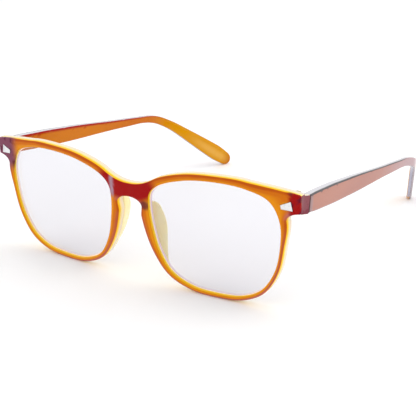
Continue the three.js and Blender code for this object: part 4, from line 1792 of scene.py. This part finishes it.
@dataclass
class NosePads:
    """The two bonded nose pads: rounded leaves that stand behind the rims' nose sides."""

    shared: Spectacles
    root: float = 4.2
    reach: float = 6.4
    thickness: float = 2.2
    thin: float = 1.3
    drop: float = 13.3
    lift: float = 6.3
    widest: float = 0.62
    inset: float = 0.1
    flare: float = 0.26
    rings: int = 40
    sides: int = 40
    squareness: float = 0.5
    top_leave: float = 0.4
    top_arrive: float = 0.3
    low_leave: float = 0.2
    low_arrive: Band = (0.35, 0.16)
    end_shares: Band = (0.004, 0.012)
    outline_steps: int = 60
    outline_fade: Band = (-0.32, -0.05)
    outline_most: float = 0.7
    halvings: int = 30

    def nose_edge(self, height: float) -> float:
        """The rim's outer edge on the nose side.

        Args:
            height: above the lenses' centre line.

        Returns:
            Its distance from the middle, found by halving the stretch of rows that holds it.
        """
        outline = self.shared.outline
        low, high = outline.nose_row, outline.end_bottom_row / 2
        for _ in range(self.halvings):
            middle = (low + high) / 2
            low, high = (middle, high) if outline.rim_edge(middle).y > height else (low, middle)
        return outline.rim_edge(low).x

    def side_view(self, share: float) -> Vector:
        """A point of the pad's back edge.

        Args:
            share: 0 at its top and 1 at its lower end.

        Returns:
            The point's depth and height.
        """
        top = self.shared.outline.lens_height / 2 - self.drop
        bottom = -self.shared.outline.lens_height / 2 + self.lift
        height = top - bottom
        crest, out = bottom + self.widest * height, self.root + self.reach
        if share < 0.5:
            leave = (self.root + self.top_leave * self.reach, top)
            handles = [(self.root, top), leave, (out, crest + self.top_arrive * height), (out, crest)]
            return bezier([Vector(point) for point in handles], 2 * share)
        across, up = self.low_arrive
        low = (self.root + across * self.reach, bottom + up * height)
        handles = [(out, crest), (out, crest - self.low_leave * height), low, (self.root, bottom)]
        return bezier([Vector(point) for point in handles], 2 * share - 1)

    def ring(self, share: float) -> list[Vector]:
        """One level cut of the pad: a rounded rectangle from the rim out to the back edge.

        Args:
            share: 0 at the pad's top and 1 at its lower end.

        Returns:
            The cut's points.
        """
        outline, wear = self.shared.outline, self.shared.wear
        back, level = self.side_view(share)
        top, bottom = self.side_view(0.0).y, self.side_view(1.0).y
        full = min(1.0, 2 * (level - bottom) / (top - bottom))
        thickness = lerp(self.thin, self.thickness, full)
        edge = self.nose_edge(min(level, outline.rim_edge(outline.nose_row).y))
        points = []
        for number in range(self.sides):
            turn = math.tau * number / self.sides
            circle = math.cos(turn), math.sin(turn)
            u, v = (math.copysign(abs(part) ** self.squareness, part) for part in circle)
            depth = (self.root + back) / 2 + u * (back - self.root) / 2
            across = self.inset + self.flare * (depth - self.root) + thickness * (1 + v) / 2
            points.append(wear.worn(edge + across, depth, level))
        return points

    def outline_share(self, at: Vector) -> float:
        """How much of the edge's colour a point has: most along the pad's back edge, none in front of it."""
        flat, steps = self.shared.wear.flat(at), self.outline_steps
        spot = Vector((flat.y, flat.z))
        nearest = min((self.side_view(number / steps) - spot).length for number in range(steps + 1))
        return self.outline_most * smoothstep(-nearest, *self.outline_fade)

    def build(self) -> None:
        """Makes both pads and ties them to the front."""
        shares = [number / (self.rings + 1) for number in range(1, self.rings + 1)]
        shares = [*self.end_shares, *shares, *(1 - share for share in reversed(self.end_shares))]
        rings = [self.ring(share) for share in shares]
        ends = tuple(sum(ring, Vector()) / len(ring) for ring in (rings[0], rings[-1]))
        left = tube_of_rings("nose_pad_left_fine", rings, ends)
        paint_by_place(left, "outline", self.outline_share)
        dress(left, PadPlastic().material())
        self.shared.finish_pair(left, "front", "pad_plastic", "nose_pad_{side}")


@dataclass
class Hinges:
    """The metal hinges: two barrels on a foot in the front, one on a plate in the temple, and a screw."""

    shared: Spectacles
    toe_in: float = math.radians(1.6)
    web_inset: float = 0.1
    head_edge: float = 0.25
    shank_edge: float = 0.1
    shank_sides: int = 40

    def front_half(self) -> Piece:
        """The two outer barrels, their web and the foot sunk in the end piece."""
        sizes = self.shared.hinge
        half, reach = sizes.stack / 2, sizes.web_reach
        piece = post("front_hinge_left_fine", sizes.barrel_radius, -half, half, sizes.edge)
        inner = half - sizes.edge
        combine(piece, block("web", (0, -reach, -inner), (reach, 0, inner)), Join.ADD)
        combine(piece, block("foot", *sizes.foot_box(0), sizes.edge), Join.ADD)
        low, high = sizes.span(1)
        radius = sizes.barrel_radius + sizes.clearance / 2
        combine(piece, post("gap", radius, low - sizes.barrel_gap, high + sizes.barrel_gap), Join.CUT)
        combine(piece, sizes.bore(), Join.CUT)
        return piece

    def temple_half(self) -> Piece:
        """The middle barrel and the plate let into the temple."""
        sizes = self.shared.hinge
        low, high = sizes.span(1)
        piece = post("temple_hinge_left_fine", sizes.barrel_radius, low, high, sizes.edge)
        outer = sizes.temple_inner - sizes.plate_proud / 2
        bottom, top = low + self.web_inset, high - self.web_inset
        web = block("web", (0, 0, bottom), (outer, sizes.plate_start + sizes.web_reach, top))
        combine(piece, web, Join.ADD)
        combine(piece, block("plate", *sizes.plate_box(0), sizes.edge), Join.ADD)
        combine(piece, sizes.bore(), Join.CUT)
        turn = Matrix.Rotation(self.toe_in, 3, "Z")
        place_vertices(piece, lambda at, _number: turn @ at)
        return piece

    def screw(self) -> Piece:
        """The slotted screw that the hinge turns on."""
        sizes = self.shared.hinge
        top = sizes.stack / 2 + sizes.barrel_gap
        high = top + sizes.head_height
        piece = post("hinge_screw_left_fine", sizes.head_radius, top, high, self.head_edge)
        foot, neck = -sizes.stack / 2, top + sizes.head_height / 2
        shank = post("shank", sizes.screw_radius, foot, neck, self.shank_edge, self.shank_sides)
        combine(piece, shank, Join.ADD)
        wide, half = 2 * sizes.head_radius, sizes.slot_width / 2
        floor = top + sizes.head_height - sizes.slot_depth
        combine(piece, block("slot", (-wide, -half, floor), (wide, half, floor + wide)), Join.CUT)
        return piece

    def build(self) -> None:
        """Makes the hinges of both sides and ties each half to its body."""
        makers = (
            (self.front_half(), "front_hinge", HINGE_METAL, "hinge_metal"),
            (self.temple_half(), "temple_hinge", HINGE_METAL, "hinge_metal"),
            (self.screw(), "hinge_screw", SCREW_METAL, "screw_metal"),
        )
        for left, node, metal, slot in makers:
            face_outwards(left)
            place_vertices(left, lambda at, _number: at + self.shared.axis)
            dress(left, metal.material())
            body = "{side}_temple" if node == "temple_hinge" else "front"
            self.shared.finish_pair(left, body, slot, node + "_{side}")


@dataclass
class Temples:
    """The two temples. Each is a clear core with a brown layer bonded to its outer side."""

    shared: Spectacles
    straight: float = 99.5
    tip_length: float = 52.0
    height: float = 7.2
    butt_height: float = 6.2
    neck: float = 3.2
    tip_height: float = 7.8
    thin: float = 2.4
    taper: tuple[float, float] = (12.0, 55.0)
    rise: float = 3.1
    tip_drop: float = 27.5
    drop_length: float = 34.5
    tip_toe_in: float = 19.7
    toe_length: float = 10.0
    toe_in: float = math.radians(1.6)
    layer: float = 0.9
    bond_left: float = 0.03
    rounding: float = 0.6
    sharp: float = 0.05
    step: float = 1.5
    squareness: float = 2.4
    tip_close: float = 0.77
    tip_short: float = 0.25
    end_turns: int = 10
    end_turn: float = math.radians(8)
    corner_steps: int = 4
    long_steps: int = 5
    streak_most: float = 0.75
    streak_share: Band = (0.78, 0.9)
    streak_fade: Band = (0.15, 0.75)
    streak_drop: float = 0.1
    wall_rise: Band = (0.85, 0.93)
    wall_share: Band = (0.5, 0.68)
    keel_fall: Band = (0.84, 0.94)
    keel_most: float = 0.85
    top_rise: Band = (0.955, 0.99)
    brow_rise: Band = (0.55, 0.82)
    marks: Marks = field(default_factory=Marks)

    def form(self) -> list[tuple[float, float]]:
        """The side view, as pairs of a distance behind the hinge and the height there."""
        straight, tip = self.straight, self.tip_length
        return [
            (0, self.butt_height),
            (0.07 * straight, lerp(self.butt_height, self.height, 0.7)),
            (0.2 * straight, self.height),
            (0.35 * straight, lerp(self.neck, self.height, 0.87)),
            (0.72 * straight, lerp(self.neck, self.height, 0.2)),
            (0.86 * straight, self.neck),
            (straight + 0.1 * tip, lerp(self.neck, self.tip_height, 0.2)),
            (straight + 0.8 * tip, self.tip_height),
            (straight + tip, self.tip_close * self.tip_height),
        ]

    def height_at(self, along: float) -> float:
        """The side view's height.

        Args:
            along: the distance behind the hinge.

        Returns:
            The height, eased between the two pairs that it lies between.
        """
        form = self.form()
        beyond = (number for number, (at, _) in enumerate(form) if at >= along and number)
        after = next(beyond, len(form) - 1)
        (start, low), (end, high) = form[after - 1], form[after]
        return lerp(low, high, (smoothstep(along, start, end) + (along - start) / (end - start)) / 2)

    def thickness_at(self, along: float) -> float:
        """The temple's thickness at a distance behind the hinge."""
        return lerp(self.shared.hinge.temple_thickness, self.thin, smoothstep(along, *self.taper))

    def heading(self, along: float) -> tuple[float, float]:
        """The way the temple runs.

        Args:
            along: the distance behind the hinge.

        Returns:
            Its rise or fall and its turn towards the head.
        """
        bend = along - self.straight
        drop = smoothstep(bend, -self.drop_length / 2, self.drop_length / 2)
        turn = smoothstep(bend, -self.toe_length / 3, 2 * self.toe_length / 3)
        return math.radians(lerp(self.rise, -self.tip_drop, drop)), math.radians(self.tip_toe_in * turn)

    def cuts(self) -> list[tuple[float, float, float]]:
        """Where the cuts stand.

        Returns:
            Each one's distance behind the hinge, the share of its height that the round end leaves, and how
            far the butt's edge draws it in.
        """
        length, end = self.straight + self.tip_length - self.tip_short, self.tip_height / 2
        count = round((length - end) / self.step)
        even = [((length - end) * number / count, 1.0, 0.0) for number in range(1, count)]
        shares = [math.sin(self.end_turn * number) for number in range(self.end_turns + 1)]
        power = self.squareness
        closing = [(length - end + end * at, (1 - at**power) ** (1 / power), 0.0) for at in shares]
        return [(0.0, 1.0, 0.25), (0.08, 1.0, 0.07), (0.25, 1.0, 0.0), *even, *closing]

    def rounded(self, corners: Sequence[tuple[float, float, float]]) -> list[tuple[float, float]]:
        """A four-sided cut with rounded corners, always with as many points.

        Args:
            corners: each corner's place and radius, in order round the cut.

        Returns:
            The points as (across, rise).
        """
        points: list[tuple[float, float]] = []
        for number, (x, y, radius) in enumerate(corners):
            here = Vector((x, y))
            before = (Vector(corners[number - 1][:2]) - here).normalized() * radius
            after = (Vector(corners[(number + 1) % 4][:2]) - here).normalized() * radius
            handles = [here + before, here, here + after]
            steps = self.corner_steps
            points += [tuple(bezier(handles, step / steps)) for step in range(steps + 1)]
            if number % 2 == 0:
                follow = corners[(number + 1) % 4]
                start, end = here + after, Vector(follow[:2]) - after.normalized() * follow[2]
                steps = self.long_steps + 1
                points += [tuple(start.lerp(end, step / steps)) for step in range(1, steps)]
        return points

    def cut(self, inner: float, outer: float, half: float, rounds: Band) -> list[tuple[float, float]]:
        """One cut between two distances from the temple's outer face.

        Args:
            inner: distance of its inner side.
            outer: distance of its outer side.
            half: half its height.
            rounds: radius of the outer side's corners and of the inner side's.

        Returns:
            The points as (across, rise).
        """
        outside, inside = (min(radius, half * 0.8, abs(outer - inner) * 0.8) for radius in rounds)
        corners = [(outer, half, outside), (outer, -half, outside)]
        return self.rounded([*corners, (inner, -half, inside), (inner, half, inside)])

    def skin(self, name: str, is_layer: bool) -> Piece:
        """The layer or the core as a skin over its cuts.

        Args:
            name: the new object's name.
            is_layer: the brown layer, or else the core.

        Returns:
            The left temple's part, in place.
        """
        place = Vector((self.shared.hinge.temple_outer, self.shared.hinge.butt_gap / 2, 0))
        turn = Matrix.Rotation(self.toe_in, 3, "Z")
        rings, travelled = [], 0.0
        self.marks = Marks()
        length = self.straight + self.tip_length
        for along, closed, shrink in self.cuts():
            pitch, yaw = self.heading((travelled + along) / 2)
            level = math.cos(pitch)
            way = Vector((-math.sin(yaw) * level, math.cos(yaw) * level, math.sin(pitch)))
            place = place + way * (along - travelled)
            pitch, yaw = self.heading(along)
            fall, up_share = math.sin(min(0.0, pitch)), math.cos(min(0.0, pitch))
            out = Vector((math.cos(yaw), math.sin(yaw), 0))
            up = Vector((math.sin(yaw) * fall, -math.cos(yaw) * fall, up_share))
            half = self.height_at(along) * closed / 2 - shrink
            if is_layer:
                points = self.cut(-self.layer, -shrink, half, (self.rounding, self.sharp))
            else:
                thickness = self.thickness_at(along) - shrink
                bond = -self.layer - self.bond_left
                points = self.cut(-thickness, bond, half, (self.sharp, self.rounding))
            ring = [turn @ (place + out * across + up * rise) + self.shared.axis for across, rise in points]
            for point, (across, rise) in zip(ring, points):
                self.marks.add(point, (along / length, rise / half, across))
            rings.append(ring)
            travelled = along
        ends = tuple(sum(ring, Vector()) / len(ring) for ring in (rings[0], rings[-1]))
        return tube_of_rings(name, rings, ends)

    def mark(self, at: Vector) -> tuple[float, float, float]:
        """A vertex's share of the length, share of the half height and distance across."""
        return self.marks.at(at)

    def streak(self, at: Vector) -> float:
        """How pale the tip's paddle is: most along its middle."""
        along, rise, _ = self.mark(at)
        middle = 1 - smoothstep(abs(rise + self.streak_drop), *self.streak_fade)
        return self.streak_most * smoothstep(along, *self.streak_share) * middle

    def brown_layer(self) -> Piece:
        """The brown layer of the left temple."""
        piece = self.skin("temple_layer_left", is_layer=True)

        def wall(at: Vector) -> float:
            """How much painted shade a point of the upper edge has: nearly black as far as the ear bend."""
            along, rise, _ = self.mark(at)
            return smoothstep(rise, *self.wall_rise) * (1 - smoothstep(along, *self.wall_share))

        def keel(at: Vector) -> float:
            """How grey a point of the lower edge is."""
            return self.keel_most * smoothstep(-self.mark(at)[1], *self.keel_fall)

        paint_by_place(piece, "wall", wall)
        paint_by_place(piece, "keel", keel)
        paint_by_place(piece, "along", lambda at: self.mark(at)[0])
        dress(piece, TempleLayer().material())
        return piece

    def clear_core(self) -> Piece:
        """The clear core of the left temple, with the pocket for the hinge plate."""
        piece = self.skin("temple_core_left", is_layer=False)
        paint_by_place(piece, "along", lambda at: self.mark(at)[0])
        paint_by_place(piece, "top", lambda at: smoothstep(abs(self.mark(at)[1]), *self.top_rise))
        paint_by_place(piece, "brow", lambda at: smoothstep(self.mark(at)[1], *self.brow_rise))
        paint_by_place(piece, "streak", self.streak)
        hinge = self.shared.hinge
        turn = Matrix.Rotation(self.toe_in, 3, "Z")
        pocket = block("pocket", *hinge.plate_box(hinge.pocket_clearance))
        for tool in (pocket, hinge.room(-self.height)):
            place_vertices(tool, lambda at, _number: turn @ at + self.shared.axis)
            combine(piece, tool, Join.CUT)
        dress(piece, TempleCore().material())
        return piece

    def build(self) -> None:
        """Makes both temples and ties them to their bodies."""
        for left in (self.brown_layer(), self.clear_core()):
            self.shared.finish_pair(left, "{side}_temple", "temple_plastic", "temple_{side}")


# ---- Studio ----
@dataclass(frozen=True)
class SoftBox:
    """A rectangular lamp: its place, the point it faces, its width and height, and its power in watts."""

    at: Colour
    towards: Colour
    size: Band
    power: float

    def build(self) -> None:
        """Makes the lamp."""
        bpy.ops.object.light_add(type="AREA", location=self.at)
        lamp = bpy.context.active_object
        lamp.data.shape = "RECTANGLE"
        lamp.data.size, lamp.data.size_y = self.size
        lamp.data.energy = self.power
        lamp.rotation_euler = (Vector(self.towards) - Vector(self.at)).to_track_quat("-Z", "Y").to_euler()


@dataclass
class Studio:
    """A pale floor, soft light from all round with three soft boxes, and the camera."""

    azimuth: float = 34.164
    elevation: float = 19.701
    roll: float = -0.714
    distance: float = 0.310
    aim: Colour = (0.055935, -0.103546, 0.048899)
    lens: float = 85.25
    sky: float = 1.02
    floor_size: float = 6.0
    boxes: tuple[SoftBox, ...] = (
        SoftBox((-0.45, -0.55, 0.35), (0, 0, 0.03), (0.35, 0.5), 0.25),
        SoftBox((0.1, 0.0, 0.9), (0, 0, 0), (0.6, 0.6), 0.7),
        SoftBox((0.40, 0.30, 0.30), (0, -0.05, 0.02), (0.5, 0.5), 0.6),
    )

    def camera(self) -> None:
        """The camera, above the wearer's left and in front of the spectacles."""
        turn, rise, roll = (math.radians(value) for value in (self.azimuth, self.elevation, self.roll))
        ahead = Vector((-math.sin(turn) * math.cos(rise), math.cos(turn) * math.cos(rise), -math.sin(rise)))
        right = Vector((math.cos(turn), math.sin(turn), 0))
        up = right.cross(ahead)
        across = math.cos(roll) * right + math.sin(roll) * up
        upright = math.cos(roll) * up - math.sin(roll) * right
        bpy.ops.object.camera_add()
        camera = bpy.context.active_object
        axes = Matrix((across, upright, -ahead)).transposed().to_4x4()
        camera.matrix_world = Matrix.Translation(Vector(self.aim) - ahead * self.distance) @ axes
        camera.data.lens = self.lens
        camera.data.clip_start = 0.01
        bpy.context.scene.camera = camera

    def build(self) -> None:
        """Makes the studio."""
        bpy.ops.mesh.primitive_circle_add(vertices=96, radius=self.floor_size / 2, fill_type="NGON")
        floor = started("studio_floor")
        dress(floor, StudioFloor().material())
        world = bpy.data.worlds.new("studio")
        bpy.context.scene.world = world
        world.use_nodes = True
        sky = world.node_tree.nodes["Background"]
        sky.inputs["Color"].default_value = (1.0, 1.0, 1.0, 1.0)
        sky.inputs["Strength"].default_value = self.sky
        for box in self.boxes:
            box.build()
        bpy.context.scene.view_settings.view_transform = "Standard"
        self.camera()


def main() -> None:
    """Builds the studio and every assembly in order."""
    logging.basicConfig(level=logging.INFO, format="%(name)s: %(message)s")
    Studio().build()
    shared = Spectacles()
    for assembly in (Front, Plaques, Lenses, NosePads, Hinges, Temples):
        assembly(shared).build()
        log.info("%s done", assembly.__name__)


if __name__ == "__main__":
    main()
